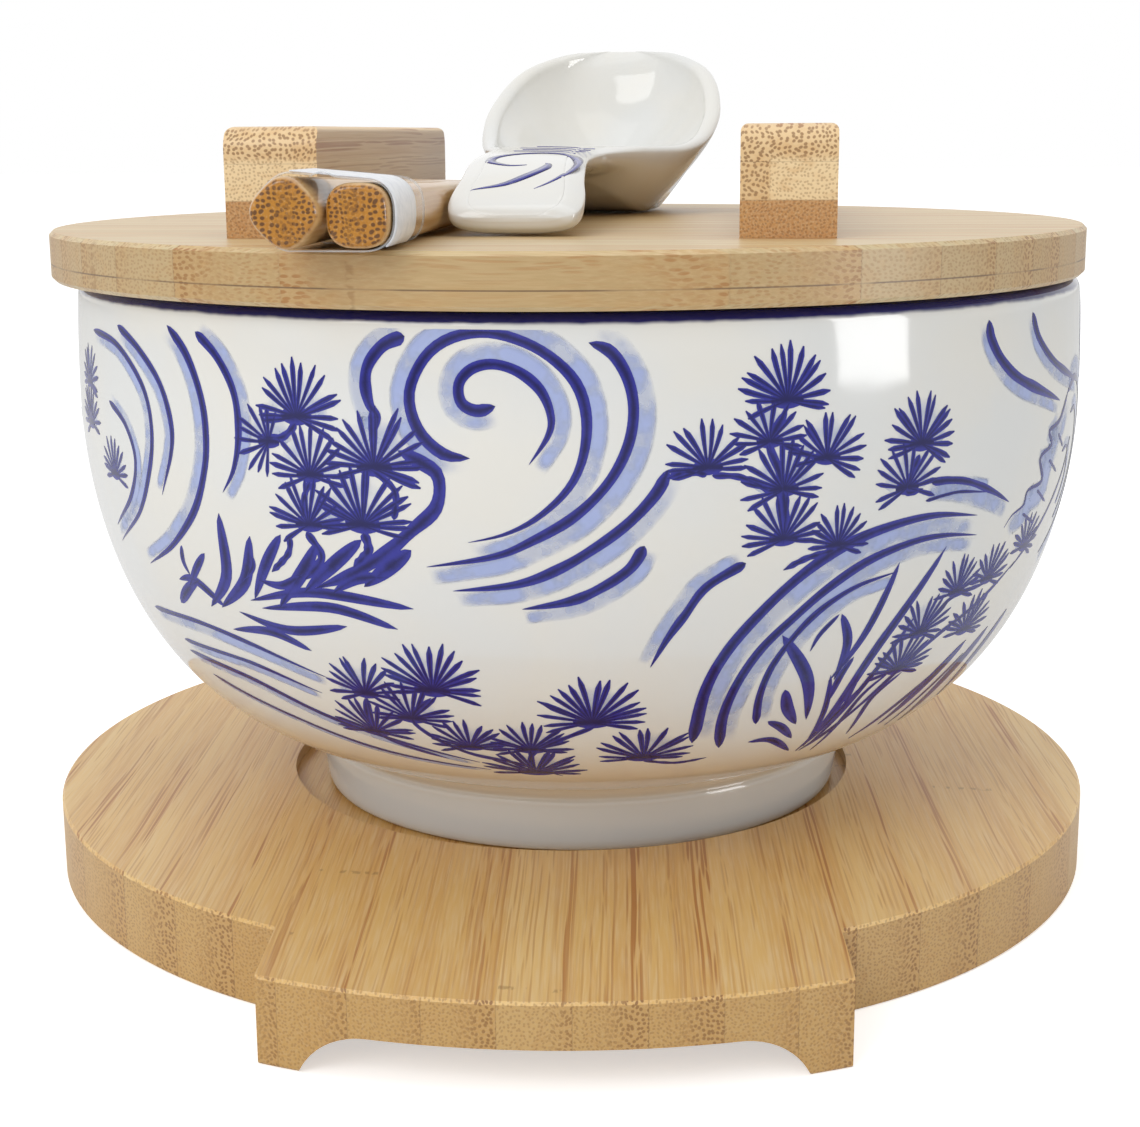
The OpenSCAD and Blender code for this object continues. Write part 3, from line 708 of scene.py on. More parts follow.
# Each leaf: base, middle and tip, and its width
LEAVES = (
    ((-34.9, 55.1), (-26, 57.8), (-15.4, 56.7), 2.0), ((-33.5, 54.2), (-24.5, 55.8), (-17.4, 53.5), 2.0),
    ((-37.2, 52.9), (-30.5, 51.4), (-23.1, 53.2), 1.9), ((-39.3, 49.7), (-33.2, 50.6), (-28.4, 48.6), 1.8),
    ((-42.4, 56.6), (-45, 54.8), (-48, 51.8), 2.2), ((-44.8, 55), (-42.4, 58.4), (-40.4, 61), 1.7),
    ((-46.5, 55.8), (-43.4, 56.4), (-39.4, 53.3), 1.9), ((-44, 57), (-44.6, 59), (-44.2, 61.4), 1.2),
    ((-41.8, 52.7), (-37.6, 58.4), (-37, 67.4), 2.6), ((-39.9, 53), (-35, 58), (-33.1, 64.8), 2.5),
    ((-34.2, 55.5), (-31.4, 61.4), (-29.1, 65.6), 2.2), ((-31, 54.8), (-27, 60.8), (-24.9, 65), 2.5),
    ((-27.4, 57.6), (-24.4, 61), (-20, 66), 2.5), ((-24, 58), (-21, 60.4), (-17.6, 61), 2.0),
    ((-20.3, 59.4), (-18.2, 61.6), (-15, 65), 2.8), ((-33, 58.5), (-30, 58.2), (-27, 60.4), 1.6),
    ((-36, 57), (-33.4, 60.4), (-33.6, 62.6), 1.2),
    ((31, 30), (33.6, 46), (40.6, 61.8), 2.2), ((29, 43.5), (31.8, 50.5), (34.2, 60.7), 1.7),
    ((28.4, 37), (26, 44.5), (21.6, 52), 2.5), ((29.7, 43.6), (29.8, 49.5), (28.1, 54.2), 1.9),
    ((25.3, 49), (26, 51.5), (27.8, 54.2), 1.0), ((29.5, 30.5), (25, 33.8), (21.7, 34), 1.7),
    ((28, 33.5), (25.3, 36.2), (23, 37.7), 1.8), ((27.2, 36.4), (24.9, 39.7), (23.6, 43.1), 2.3),
    ((30.9, 30.2), (32.4, 36), (34.4, 41.5), 1.5), ((34, 29.4), (35, 38.9), (38, 43), 1.1),
    ((38.3, 31.6), (37.3, 38.3), (40.3, 42.4), 1.2), ((30.2, 39.4), (30.4, 44), (31.3, 47), 1.6),
    ((31.5, 31), (30.5, 38), (29, 44.5), 1.3), ((32, 31), (34.5, 41), (38.5, 52), 1.4),
    ((33.5, 37), (33, 43.5), (34.8, 51), 1.6), ((44.5, 31.7), (47.5, 38.5), (51.4, 44.7), 3.0),
    ((51.7, 30.2), (52.5, 37), (56.4, 45.5), 3.4), ((40.5, 30), (44, 35.5), (48, 40.5), 1.5),
    ((58, 33), (58, 39), (61, 47), 3.0), ((47.6, 30.5), (49.4, 36), (53, 42), 1.2),
)

# Each twig: its points and its width
TWIGS = (
    (((-15.8, 78.2), (-13.6, 76.8), (-12, 75), (-12.3, 71), (-14.7, 67.8), (-17.6, 64.4), (-21.5, 61),
      (-26, 58.4)), 1.9),
    (((-19.7, 67), (-19.4, 64.5), (-21.2, 62)), 1.4), (((-26, 66.4), (-24.6, 63), (-27, 59.5)), 1.3),
    (((-28, 65.5), (-28.5, 63), (-31, 60)), 1.0), (((-25, 73.4), (-26, 70.5), (-26, 67.5)), 0.9),
    (((-26.3, 81), (-28, 79), (-31, 78.8)), 1.1), (((-16.5, 69), (-16.3, 73), (-19, 76)), 1.0),
    (((20.2, 83), (19, 80.5), (18.5, 78.5), (19.5, 75), (20, 72), (20.4, 68.5), (20.3, 65.2)), 1.2),
    (((12.6, 75.2), (10.6, 75.6), (8.8, 74.8)), 1.0), (((13, 75), (16, 74.5), (19.5, 71.8)), 0.9),
    (((24.4, 76), (21.5, 77.5), (19, 79)), 0.9), (((26.2, 63.8), (23, 63), (20.6, 61.6)), 1.0),
    (((35.2, 75.6), (34.3, 73), (33.9, 70.6), (36, 70.8)), 1.0),
    (((-15.3, 43), (-18.4, 38.4), (-13.4, 33.4), (-7, 31.4), (-1.5, 28.6)), 0.9),
    (((-23.5, 41.8), (-24, 35.2), (-16, 31.5)), 0.9), (((2.6, 39), (-4.6, 34), (-5.4, 29.4)), 0.9),
    (((8.6, 32), (13, 31), (17, 31.6)), 0.8),
    (((31.5, 30), (35, 36), (39, 42.4), (43.6, 47.4), (49.5, 51), (56, 56)), 0.9),
    (((40.1, 48), (42, 51.5), (44.3, 53.6), (50, 54.2)), 0.8),
    (((68.8, 72.3), (66.8, 67.2), (61.7, 61), (55.2, 55)), 0.7),
    (((62.4, 74), (65, 71.5)), 0.5), (((60, 70.5), (63.5, 68)), 0.5), (((57.5, 66.5), (61, 64)), 0.5),
    (((54.6, 63.6), (58.5, 61.3)), 0.5),
)


def sheet_path(wall, points, count):
    """A stroke's points as a smooth path on the wall's sheet: azimuth in radians, way down."""
    points = np.array(points, float)
    path = np.stack([np.radians(points[:, 0]), wall.down(points[:, 1])], -1)
    scale = np.array([wall.radius(path[:, 1].mean()), 1])
    return even_steps(through(path * scale, SPAN_STEPS), count) / scale


def ribbons(wall, paths, widths, depths, columns, lift):
    """Flat closed strokes on the wall. A low arch of points just above the wall with one
    keel point in it is carried along each path and stands square to the path in the wall's
    own sheet. Paths are strokes x steps x 2; the depth falls towards both edges."""
    scale = wall.radius(paths[..., 1])
    side = np.append(np.linspace(-1, 1, columns - 1), 0)
    shifts = widths[..., None, None] / 2 * sideways(paths, scale)[..., None, :] * side[:, None]
    azimuth = paths[..., None, 0] + shifts[..., 0] / scale[..., None]
    down = paths[..., None, 1] + shifts[..., 1]
    arch = lift * (1 + 0.4 * (1 - side ** 2))
    arch[-1] = KEEL
    points, facing = wall.place(azimuth, down, np.broadcast_to(arch, azimuth.shape))
    return points, facing, depths[..., None] * (1 - side ** 2)


def ribbon_faces(strokes, steps, columns):
    """Faces of closed tubes, with a fan of faces on each end."""
    first = (np.arange(strokes) * steps * columns)[:, None, None]
    k = np.arange(columns - 2)
    fan = np.stack([np.full_like(k, columns - 1), k, k + 1], -1)
    caps = np.concatenate([fan[:, ::-1], fan + columns * (steps - 1)])
    return (grid_quads(steps, columns) + first).reshape(-1, 4), (caps + first).reshape(-1, 3)


def brush_width(t, head, tail):
    """Share of a stroke's width along it: a round head, a long tapering tail."""
    return 0.03 + 0.97 * np.minimum(1, (t / head)) ** 0.5 * np.minimum(1, (1 - t) / tail) ** 0.7


def turned_item(item):
    """A copy of a tuft or a wave turned by ECHO_TURN."""
    if isinstance(item[0], tuple):
        return (tuple((azimuth + ECHO_TURN, height) for azimuth, height in item[0]), *item[1:])
    return (item[0] + ECHO_TURN, *item[1:])


def with_echo(items, start):
    """The items with the middle swirl and the low tufts once more, turned a way round the
    bowl; start gives an item's own azimuth and height."""
    def echoed(azimuth, height):
        return ECHO_AZIMUTHS[0] <= azimuth <= ECHO_AZIMUTHS[1] and not ECHO_BELOW <= height <= ECHO_ABOVE
    return list(items) + [turned_item(item) for item in items if echoed(*start(item))]


ALL_WAVES = with_echo(WAVES, lambda wave: wave[0][0])
ALL_TUFTS = with_echo(TUFTS, lambda tuft: tuft[:2])


def brushed(wall, items, profile, depth):
    """Strokes along the items' points: paths, widths times a profile, and depths."""
    paths = np.array([sheet_path(wall, points, len(profile)) for points, *_ in items])
    widths = np.array([width for _, width, *_ in items])[:, None] * profile
    return paths, widths, np.broadcast_to(depth, widths.shape)


def ink_strokes(wall, needle_width):
    """All inked strokes of one repeat as (paths, widths, depths) in groups of equal steps."""
    t = np.linspace(0, 1, LINE_STEPS)
    wobble = 1 + 0.07 * np.sin(9 * t + 1) + 0.04 * np.sin(23 * t)
    waves = brushed(wall, ALL_WAVES, brush_width(t, 0.05, 0.42) * wobble, 1 - 0.3 * t ** 2)
    t = np.linspace(0, 1, LEAF_STEPS)
    swell = 0.03 + 1.9 * t ** 0.75 * (1 - t) ** 0.55
    leaves = brushed(wall, [(leaf[:3], leaf[3]) for leaf in LEAVES], swell, 0.5 + 0.5 * np.cos(5 * t) ** 2)
    t = np.linspace(0, 1, TWIG_STEPS)
    knobs = (0.85 + 0.2 * np.sin(13 * t) ** 2) * brush_width(t, 0.06, 0.2)
    twigs = brushed(wall, TWIGS, knobs, 0.6 + 0.4 * np.sin(11 * t) ** 2)
    paths, spots = across_tufts(wall, 0.3, 0.03, bulge(0.34, 0.06, 0.6))
    return [waves, leaves, twigs, needles(wall, needle_width), (paths, spots, np.ones(spots.shape))]


def needles(wall, needle_width):
    """The needles of all tufts: they fan out from a tuft's foot, the middle ones longest,
    each a little bent, and end in a blunt club."""
    t = np.linspace(0, 1, NEEDLE_STEPS)
    draw = np.random.default_rng(NEEDLE_SEED)
    counts = [tuft[5] for tuft in ALL_TUFTS]
    order = np.concatenate([np.linspace(-0.5, 0.5, count) for count in counts])
    azimuth, height, reach, opening, spread, _ = np.repeat(np.array(ALL_TUFTS, float), counts, 0).T
    heading = np.radians(opening - spread * order + draw.uniform(-2.5, 2.5, len(order)))
    length = reach * (1 - 0.8 * np.abs(order) ** 2) * draw.uniform(0.9, 1.04, len(order))
    bend = draw.uniform(-0.1, 0.1, len(order))
    out = length[:, None] * t
    angle = heading[:, None] + bend[:, None] * t
    foot = wall.down(height)
    azimuth = np.radians(azimuth)[:, None] + out * np.cos(angle) / wall.radius(foot)[:, None]
    down = foot[:, None] - out * np.sin(angle)
    club = (0.42 + 0.58 * np.minimum(1, t / 0.7)) * np.minimum(1, (1.01 - t) / 0.14) ** 0.5
    size = needle_width * (0.66 + 0.06 * reach) * draw.uniform(0.88, 1.12, len(order))
    return (np.stack([azimuth, down], -1), size[:, None] * club,
            np.broadcast_to(1.1 - 0.35 * t, azimuth.shape))


def bulge(share, ends, power):
    """Widths along a tuft's level stroke, widest in the middle."""
    return share * np.sin(math.pi * np.linspace(ends, 1 - ends, TUFT_STEPS)) ** power


def across_tufts(wall, reach, rise, profile):
    """A short level stroke through the foot of each tuft: paths and widths, all as shares of
    the length of its needles."""
    azimuth, height, length = np.array(ALL_TUFTS, float).T[:3, :, None]
    down = wall.down(height)
    along = np.linspace(-1, 1, TUFT_STEPS)
    paths = np.stack([np.radians(azimuth) + along * reach * length / wall.radius(down),
                      down - rise * length * (1 - along ** 2)], -1)
    return paths, length * profile


def washes(wall):
    """The pale washes of one repeat: one along a side of each wave and one behind each tuft."""
    t = np.linspace(0, 1, LINE_STEPS)
    width, side, spread = np.array([wave[1:] for wave in ALL_WAVES]).T[..., None]
    paths = np.array([sheet_path(wall, wave[0], LINE_STEPS) for wave in ALL_WAVES])
    scale = wall.radius(paths[..., 1])
    shift = (side * (width * 0.35 + spread * 0.42))[..., None]
    lines = paths + sideways(paths, scale) * shift / np.stack([scale, np.ones(scale.shape)], -1)
    widths = spread * 1.35 * (0.75 + 0.35 * np.sin(2.6 * t + 0.4) ** 2)
    fade = np.minimum(1, t / 0.12) * np.minimum(1, (1 - t) / 0.06)
    behind, spots = across_tufts(wall, 0.5, 0.45, bulge(0.85, 0.05, 0.5))
    return [(lines, widths, np.broadcast_to(fade, widths.shape)), (behind, spots, np.full(spots.shape, 0.4))]


def add_strokes(name, wall, sets, columns, lift, finish):
    """One closed mesh of all strokes, the pattern repeated round the bowl."""
    parts = []
    offset = 0
    for paths, widths, depth in sets:
        faces = ribbon_faces(len(paths), paths.shape[1], columns)
        for k in range(REPEATS):
            turned = paths + np.array([math.radians(PATTERN_TURN) + 2 * math.pi * k / REPEATS, 0])
            points, facing, thick = ribbons(wall, turned, widths, depth, columns, lift)
            parts.append((points.reshape(-1, 3), facing.reshape(-1, 3), thick.ravel(),
                          faces[0] + offset, faces[1] + offset))
            offset += thick.size
    points, facing, depth, quads, triangles = (np.concatenate(part) for part in zip(*parts))
    make_piece(name, points, quads, triangles, finish, "bowl", "bowl_porcelain",
               marks={"depth": depth}, normals=facing)


def add_brushwork(sizes, colours):
    """Waves, pine tufts, leaves and twigs with their washes, painted round the bowl. The
    front is painted again on the back, and a swirl and low tufts fill each side."""
    wall = Wall(sizes)
    add_strokes("bowl_washes", wall, washes(wall), WASH_COLUMNS, WASH_LIFT, pale_wash("bowl_wash", colours))
    add_strokes("bowl_brushwork", wall, ink_strokes(wall, sizes.needle_width), INK_COLUMNS, INK_LIFT,
                underglaze_ink("bowl_ink", colours))


# The spoon

# Along the spoon: share of its length, half width as a share of its half width, then the
# heights of the rim, the underside and the inside floor as shares of its height, and the
# squareness of its section
SPOON_SHARES = (
    (0, 0.31, 0.092, 0.062, 0.095, 3.0), (0.006, 0.4, 0.125, 0.026, 0.129, 3.2),
    (0.022, 0.44, 0.155, 0.004, 0.162, 3.4), (0.05, 0.445, 0.205, 0.03, 0.213, 3.4),
    (0.1, 0.42, 0.272, 0.115, 0.281, 3.3), (0.2, 0.415, 0.335, 0.205, 0.344, 3.2),
    (0.32, 0.425, 0.37, 0.235, 0.378, 3.0), (0.42, 0.46, 0.385, 0.235, 0.39, 2.6),
    (0.49, 0.55, 0.388, 0.19, 0.345, 2.1), (0.55, 0.68, 0.385, 0.10, 0.23, 1.7),
    (0.61, 0.84, 0.392, 0.03, 0.145, 1.35), (0.67, 0.95, 0.45, 0, 0.115, 1.2),
    (0.74, 1, 0.57, 0, 0.12, 1.2), (0.8, 0.98, 0.68, 0.015, 0.15, 1.3),
    (0.85, 0.93, 0.775, 0.075, 0.215, 1.4), (0.9, 0.83, 0.865, 0.20, 0.345, 1.6),
    (0.945, 0.67, 0.928, 0.39, 0.56, 1.8), (0.975, 0.48, 0.968, 0.58, 0.86, 2.0),
    (0.994, 0.27, 0.98, 0.76, 0.972, 2.1), (1, 0.12, 0.966, 0.86, 0.962, 2.2),
)

# The rim's width as a share of the spoon's, the share of the length along which the handle
# bows, the gap over the lid in mm, and points across under, on and inside the rim
SPOON_RIM_SHARE = 0.068
SPOON_BOW_SHARE = 0.7
SPOON_GAP = 0.2
UNDER_COLUMNS = 61
RIM_COLUMNS = 9
INNER_COLUMNS = 49

# Strokes on the spoon's handle: along it and to its right, in mm, and a width
HANDLE_STROKES = (
    (((18.9, 3.1), (17.8, 3.6), (14.5, 3), (10.6, 1), (7.3, -2.2), (5.6, -6.8)), 1.7),
    (((17.5, 0.4), (17.2, -2.4), (20.6, -5.2), (25.5, -4.9), (30, -1.5), (31.5, 2.6), (29, 6.4),
      (22.5, 8), (15.5, 7.4), (9.5, 5.4), (5.8, 2.4)), 1.8),
    (((36.5, -3), (35.4, 2), (34.2, 7)), 0.36), (((40, -2), (38.8, 3), (37.4, 8.4)), 0.36),
    (((44, -3), (42.6, 3), (41, 8.8)), 0.36), (((48, -1), (46.4, 4), (45, 9)), 0.36),
)


class SpoonForm:
    """The spoon's sections in mm along its length: the heights of rim, underside and floor,
    the middle of the handle's sideways bow and the round rim between the two skins."""

    def __init__(self, sizes):
        share, half, top, under, floor, square = through(SPOON_SHARES, SPAN_STEPS).T
        self.y = share * sizes.spoon_length
        self.half = half * sizes.spoon_width / 2
        self.top = top * sizes.spoon_height
        self.under = np.maximum(under, 0) * sizes.spoon_height
        self.floor = floor * sizes.spoon_height
        self.square = square
        self.power = 2 / square
        self.x = -sizes.spoon_bow * np.sin(math.pi * np.minimum(share / SPOON_BOW_SHARE, 1)) ** 2
        self.rim = np.minimum(SPOON_RIM_SHARE * sizes.spoon_width, self.half / 2)
        self.side = self.top - np.minimum(self.rim, self.top - self.under) / 3
        solid = np.clip(1 - (self.top - self.floor) / self.rim, 0, 1)
        self.edge = self.side + solid * (self.top - self.side)
        self.crest = self.side + (1 - solid / 4) * (self.top - self.side)
        self.sunk = (self.side - self.under) * (1 + np.maximum(0, 2.2 - square) / 2)


def on_lid(points, turn, left, front, up):
    """Turns points clockwise from above and sets them down on the lid."""
    x, y, z = np.moveaxis(points, -1, 0)
    return np.stack([x * math.cos(turn) + y * math.sin(turn) - left,
                     y * math.cos(turn) - x * math.sin(turn) - front, z + up], -1)


def at_spoon(sizes, points):
    """The spoon's own points where it lies on the lid."""
    return on_lid(points, sizes.spoon_turn, sizes.spoon_left, sizes.spoon_front, LID_TOP + SPOON_GAP)


def add_spoon(sizes, colours):
    """The spoon: each ring is a superellipse half under the rim, a round rim, and the inner
    half sunk to the floor, carried along its length."""
    s = SimpleNamespace(**{name: value[:, None] for name, value in vars(SpoonForm(sizes)).items()})
    a = np.linspace(0, math.pi, UNDER_COLUMNS)
    b = np.linspace(0, math.pi, RIM_COLUMNS)[1:-1]
    c = np.linspace(0, math.pi, INNER_COLUMNS)
    outer_x = s.x - s.half * signed_power(np.cos(a), s.power)
    outer_z = np.maximum(s.under, s.side - s.sunk * np.sin(a) ** s.power)
    rim_x = s.half - s.rim / 2 + s.rim / 2 * np.cos(b)
    rim_z = s.side + (s.edge - s.side) * (1 - np.cos(b)) / 2 + (s.crest - (s.side + s.edge) / 2) * np.sin(b)
    inner_x = s.x + (s.half - s.rim) * signed_power(np.cos(c), s.power)
    inner_z = s.edge + (s.floor - s.edge) * np.sin(c) ** s.power
    x = np.concatenate([outer_x, s.x + rim_x, inner_x, s.x - rim_x[:, ::-1]], 1)
    z = np.concatenate([outer_z, rim_z, inner_z, rim_z[:, ::-1]], 1)
    points, quads, triangles = capped(np.stack([x, np.broadcast_to(s.y, x.shape), z], -1))
    make_piece("soup_spoon", at_spoon(sizes, points), quads, triangles,
               glazed("spoon_glaze", colours, False), "spoon", "spoon_porcelain", ["spoon"])


def add_handle_strokes(sizes, colours):
    """Two curled strokes and thin hatches on top of the handle: a flat diamond section carried
    along each path, at the height of the handle's crowned top."""
    form = SpoonForm(sizes)
    t = np.linspace(0, 1, LINE_STEPS)
    paths = np.array([even_steps(through(points, SPAN_STEPS), LINE_STEPS) for points, _ in HANDLE_STROKES])
    widths = np.array([width for _, width in HANDLE_STROKES])[:, None] * brush_width(t, 0.2, 0.5)
    shifts = widths[..., None] / 2 * np.array([-1, 0, 1, 0])
    y, aside = np.moveaxis(paths[..., None, :] + sideways(paths)[..., None, :] * shifts[..., None], -1, 0)
    half, rim, edge, floor, square, middle = (np.interp(y, form.y, values) for values in (
        form.half, form.rim, form.edge, form.floor, form.square, form.x))
    reach = np.clip(np.abs(aside) / (half - rim), 0, 1)
    z = edge + (floor - edge) * (1 - reach ** square) ** (1 / square)
    z = z + np.array([INK_LIFT, INK_LIFT * 1.4, INK_LIFT, KEEL])
    depth = (0.42 - 0.2 * t ** 2)[None, :, None] * np.array([0.2, 1, 0.2, 1]) * np.ones((len(paths), 1, 1))
    placed = at_spoon(sizes, np.stack([aside + middle, y, z], -1).reshape(-1, 3))
    make_piece("spoon_brushwork", placed, *ribbon_faces(len(paths), LINE_STEPS, 4),
               underglaze_ink("spoon_ink", colours), "spoon", "spoon_porcelain", marks={"depth": depth})


# The chopsticks, the film and the label

# A stick's squareness at its thick end, where 2 is round, its rows and columns of points,
# and its ends: rings as shares of its width, and the rounding's length in mm
SQUARENESS = 2.8
STICK_ROWS = 60
STICK_COLUMNS = 72
END_RINGS = np.array([0.16, 0.32, 0.48, 0.64])
EASE_STEPS = 9
FRONT_EASE = 1.35
BACK_EASE = 2.7

# The play under the wrapped pair in mm
STICK_REST = 0.02

# The film and its fold, and the label: rows and columns, sizes in mm, angles in degrees
FILM_ROWS = 24
FILM_COLUMNS = 300
FOLD_WIDTH = 0.9
FOLD_HEIGHT = 0.55
FOLD_LEVEL = 4
RIPPLE = 0.05
HEM_SHARE = 0.02
LABEL_ROWS = 16
LABEL_COLUMNS = 60
LABEL_FROM = 88
LABEL_TO = -52
LABEL_GAP = 0.02


def section(half, square, turn, angle):
    """A superellipse |x|^n + |z|^n = half^n, turned about the stick's axis."""
    x = half * signed_power(np.cos(angle), 2 / square)
    z = half * signed_power(np.sin(angle), 2 / square)
    return x * math.cos(turn) - z * math.sin(turn), x * math.sin(turn) + z * math.cos(turn)


def section_rest(half, square, turn):
    """Height of the section's middle when it lies flat or on a corner."""
    return half if turn == 0 else half * 2 ** (0.5 - 1 / square)


def stick_spread(sizes):
    """How far the two sticks' axes lie apart."""
    half = sizes.stick_thickness / 2
    return half + section_rest(half, SQUARENESS, math.pi / 4) + sizes.stick_gap


def at_sticks(sizes, points):
    """Points of the pair, which start at the right stick's end, where it lies on the lid."""
    floor = LID_TOP + sizes.film_thickness + sizes.film_clear + STICK_REST
    return on_lid(points, sizes.stick_turn, sizes.stick_left, sizes.stick_front, floor)


def add_stick(sizes, colours, name, turn, shift_x, shift_y, crowd_side):
    """A chopstick: a superellipse that shrinks and rounds towards the tip, with both ends
    eased by a quarter round and closed by rings down to a middle point."""
    length = sizes.stick_length
    thick, thin = sizes.stick_thickness / 2, sizes.stick_tip / 2
    ease = np.linspace(0, math.pi / 2, EASE_STEPS)
    flat = np.zeros(len(END_RINGS))
    front = np.concatenate([flat, FRONT_EASE * (1 - np.cos(ease))])
    back = length - np.concatenate([flat, BACK_EASE * (1 - np.cos(ease))])
    y = np.concatenate([front, np.linspace(4, length - 5, STICK_ROWS), back[::-1]])[:, None]
    scale = np.concatenate([END_RINGS, 0.8 + 0.2 * np.sin(ease), np.ones(STICK_ROWS),
                            (0.6 + 0.4 * np.sin(ease))[::-1], (END_RINGS * 0.9)[::-1]])[:, None]
    full = thick + (thin - thick) * y / length
    square = SQUARENESS + (2 - SQUARENESS) * y / length
    angle = np.linspace(0, 2 * math.pi, STICK_COLUMNS, endpoint=False)
    x, z = section(full * scale, square, turn, angle)
    z = z + section_rest(full, square, turn)
    points, quads, triangles = capped(np.stack([x + shift_x, np.broadcast_to(y + shift_y, x.shape), z], -1))
    axis_x = pair_axis(sizes) + shift_x
    finish = lacquered_stick(name + "_lacquer", colours, sizes.stick_turn, axis_x, crowd_side)
    make_piece(name + "_lacquered", at_sticks(sizes, points), quads, triangles, finish,
               name, "chopstick_bamboo", [name])


def pair_axis(sizes):
    """X of the right stick's axis once the pair's turn is taken back."""
    return -sizes.stick_left * math.cos(sizes.stick_turn) + sizes.stick_front * math.sin(sizes.stick_turn)


def pair_outline(sizes, grow, angle):
    """The stretched outline round both sticks, grown outwards: for each direction the
    outermost point of the two sections, moved on along that direction."""
    half = sizes.stick_thickness / 2
    around = np.linspace(0, 2 * math.pi, 720, endpoint=False)
    right = np.stack(section(half, SQUARENESS, 0, around), -1) + [0, half]
    left = np.stack(section(half, SQUARENESS, math.pi / 4, around), -1)
    left = left + [-stick_spread(sizes), section_rest(half, SQUARENESS, math.pi / 4)]
    both = np.concatenate([right, left])
    direction = np.stack([np.cos(angle), np.sin(angle)], -1)
    return both[np.argmax(direction @ both.T, 1)] + grow * direction


def add_film(sizes, colours):
    """The clear film round the pair: a band with its own thickness, slight ripples and a small
    fold on top between the sticks. Its rows run back along the inside and forward outside."""
    angle = np.linspace(0, 2 * math.pi, FILM_COLUMNS, endpoint=False)
    loop = pair_outline(sizes, sizes.film_clear, angle)
    outline = even_steps(np.concatenate([loop, loop[:1]]), FILM_COLUMNS + 1)[:-1]
    step = np.roll(outline, -1, 0) - np.roll(outline, 1, 0)
    out = np.stack([step[:, 1], -step[:, 0]], -1) / np.linalg.norm(step, axis=1)[:, None]
    fold_x = -stick_spread(sizes) / 2
    fold = np.exp(-((outline[:, 0] - fold_x) / FOLD_WIDTH) ** 2) * (outline[:, 1] > FOLD_LEVEL)
    along = np.linspace(0, 1, FILM_ROWS)
    along = np.concatenate([along, along[::-1]])[:, None]
    ripple = RIPPLE * np.sin(5 * angle) * np.sin(9 * along)
    thickness = np.repeat([0.0, sizes.film_thickness], FILM_ROWS)[:, None]
    grow = thickness + np.maximum(ripple, 0) + FOLD_HEIGHT * fold * np.exp(-along * 5)
    flat = outline + out * grow[..., None]
    y = sizes.film_back + sizes.film_length * along + 0.25 * np.sin(3 * angle + 1) * (1 - along)
    points = np.stack([flat[..., 0], y, flat[..., 1]], -1).reshape(-1, 3)
    quads = grid_quads(2 * FILM_ROWS + 1, FILM_COLUMNS) % len(points)
    hem = np.broadcast_to(np.clip(1 - np.minimum(along, 1 - along) / HEM_SHARE, 0, 1), y.shape)
    make_piece("wrap_clear_film", at_sticks(sizes, points), quads, NO_TRIANGLES,
               clear_film("clear_film", colours), "wrap", "film", ["wrap_film"], {"hem": hem})


def add_label(sizes, colours):
    """The blank label over the film's right side, a curved sheet with its own thickness."""
    angle = np.radians(np.linspace(LABEL_FROM, LABEL_TO, LABEL_COLUMNS))
    film = sizes.film_clear + sizes.film_thickness
    inside = pair_outline(sizes, film + LABEL_GAP, angle)
    outside = pair_outline(sizes, film + sizes.label_thickness, angle)
    loop = np.concatenate([inside, outside[::-1]])
    columns = len(loop)
    y = np.linspace(0, sizes.label_length, LABEL_ROWS)[:, None] + sizes.film_back
    sheet = np.stack(np.broadcast_arrays(loop[:, 0], y, loop[:, 1]), -1)
    strip = np.arange(LABEL_COLUMNS - 1)
    cap = np.stack([strip, strip + 1, columns - 2 - strip, columns - 1 - strip], -1)
    quads = np.concatenate([grid_quads(LABEL_ROWS, columns), cap[:, ::-1], cap + (LABEL_ROWS - 1) * columns])
    make_piece("wrap_blank_label", at_sticks(sizes, sheet.reshape(-1, 3)), quads, NO_TRIANGLES,
               label_paper("label_paper", colours), "wrap", "label_paper", ["wrap_label"])


# Tray, lid, bars and dowels keep their solids and get their bamboo

def finish_bamboo(colours):
    """Gives each strip, ply, bar layer and dowel of the frame its own kind of bamboo."""
    kinds = {
        "tray_strip": bamboo("tray_bamboo", colours, "tray", TRAY_TURN, 3.0),
        "lid_": bamboo("lid_bamboo", colours, "lid", LID_TURN, 11.0),
        "handle_bar": bamboo("bar_bamboo", colours, "bar", LID_TURN, 23.0),
        "handle_dowels": bamboo("dowel_bamboo", colours, "bar", LID_TURN, 31.0),
    }
    for name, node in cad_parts.items():
        for start, finish in kinds.items():
            if name.startswith(start):
                node.data.materials.clear()
                node.data.materials.append(finish)


# Floor, lamps, background and camera: places in metres, angles in degrees

FLOOR_REACH = 6.0
FLOOR_GREY = (0.86, 0.86, 0.86, 1)
BLACK = (0, 0, 0, 1)
WHITE = (1, 1, 1, 1)
SENSOR_WIDTH = 36
CAMERA_PLACE = (0, -0.3229, 0.1177)
CAMERA_TILT = 77.5
CAMERA_ROLL = -0.355


def add_lamp(name, place, aim, width, height, power, seen=True):
    """An area lamp that shines from a place to an aim. An unseen one shows only in gloss."""
    data = bpy.data.lights.new(name, "AREA")
    data.shape = "RECTANGLE"
    data.size = width
    data.size_y = height
    data.energy = power
    lamp = bpy.data.objects.new(name, data)
    lamp.location = place
    way = np.array(aim) - np.array(place)
    tilt = math.atan2(math.hypot(way[0], way[1]), -way[2])
    lamp.rotation_euler = Euler((tilt, 0, math.atan2(-way[0], way[1])))
    lamp.visible_camera = False
    lamp.visible_diffuse = seen
    bpy.context.scene.collection.objects.link(lamp)


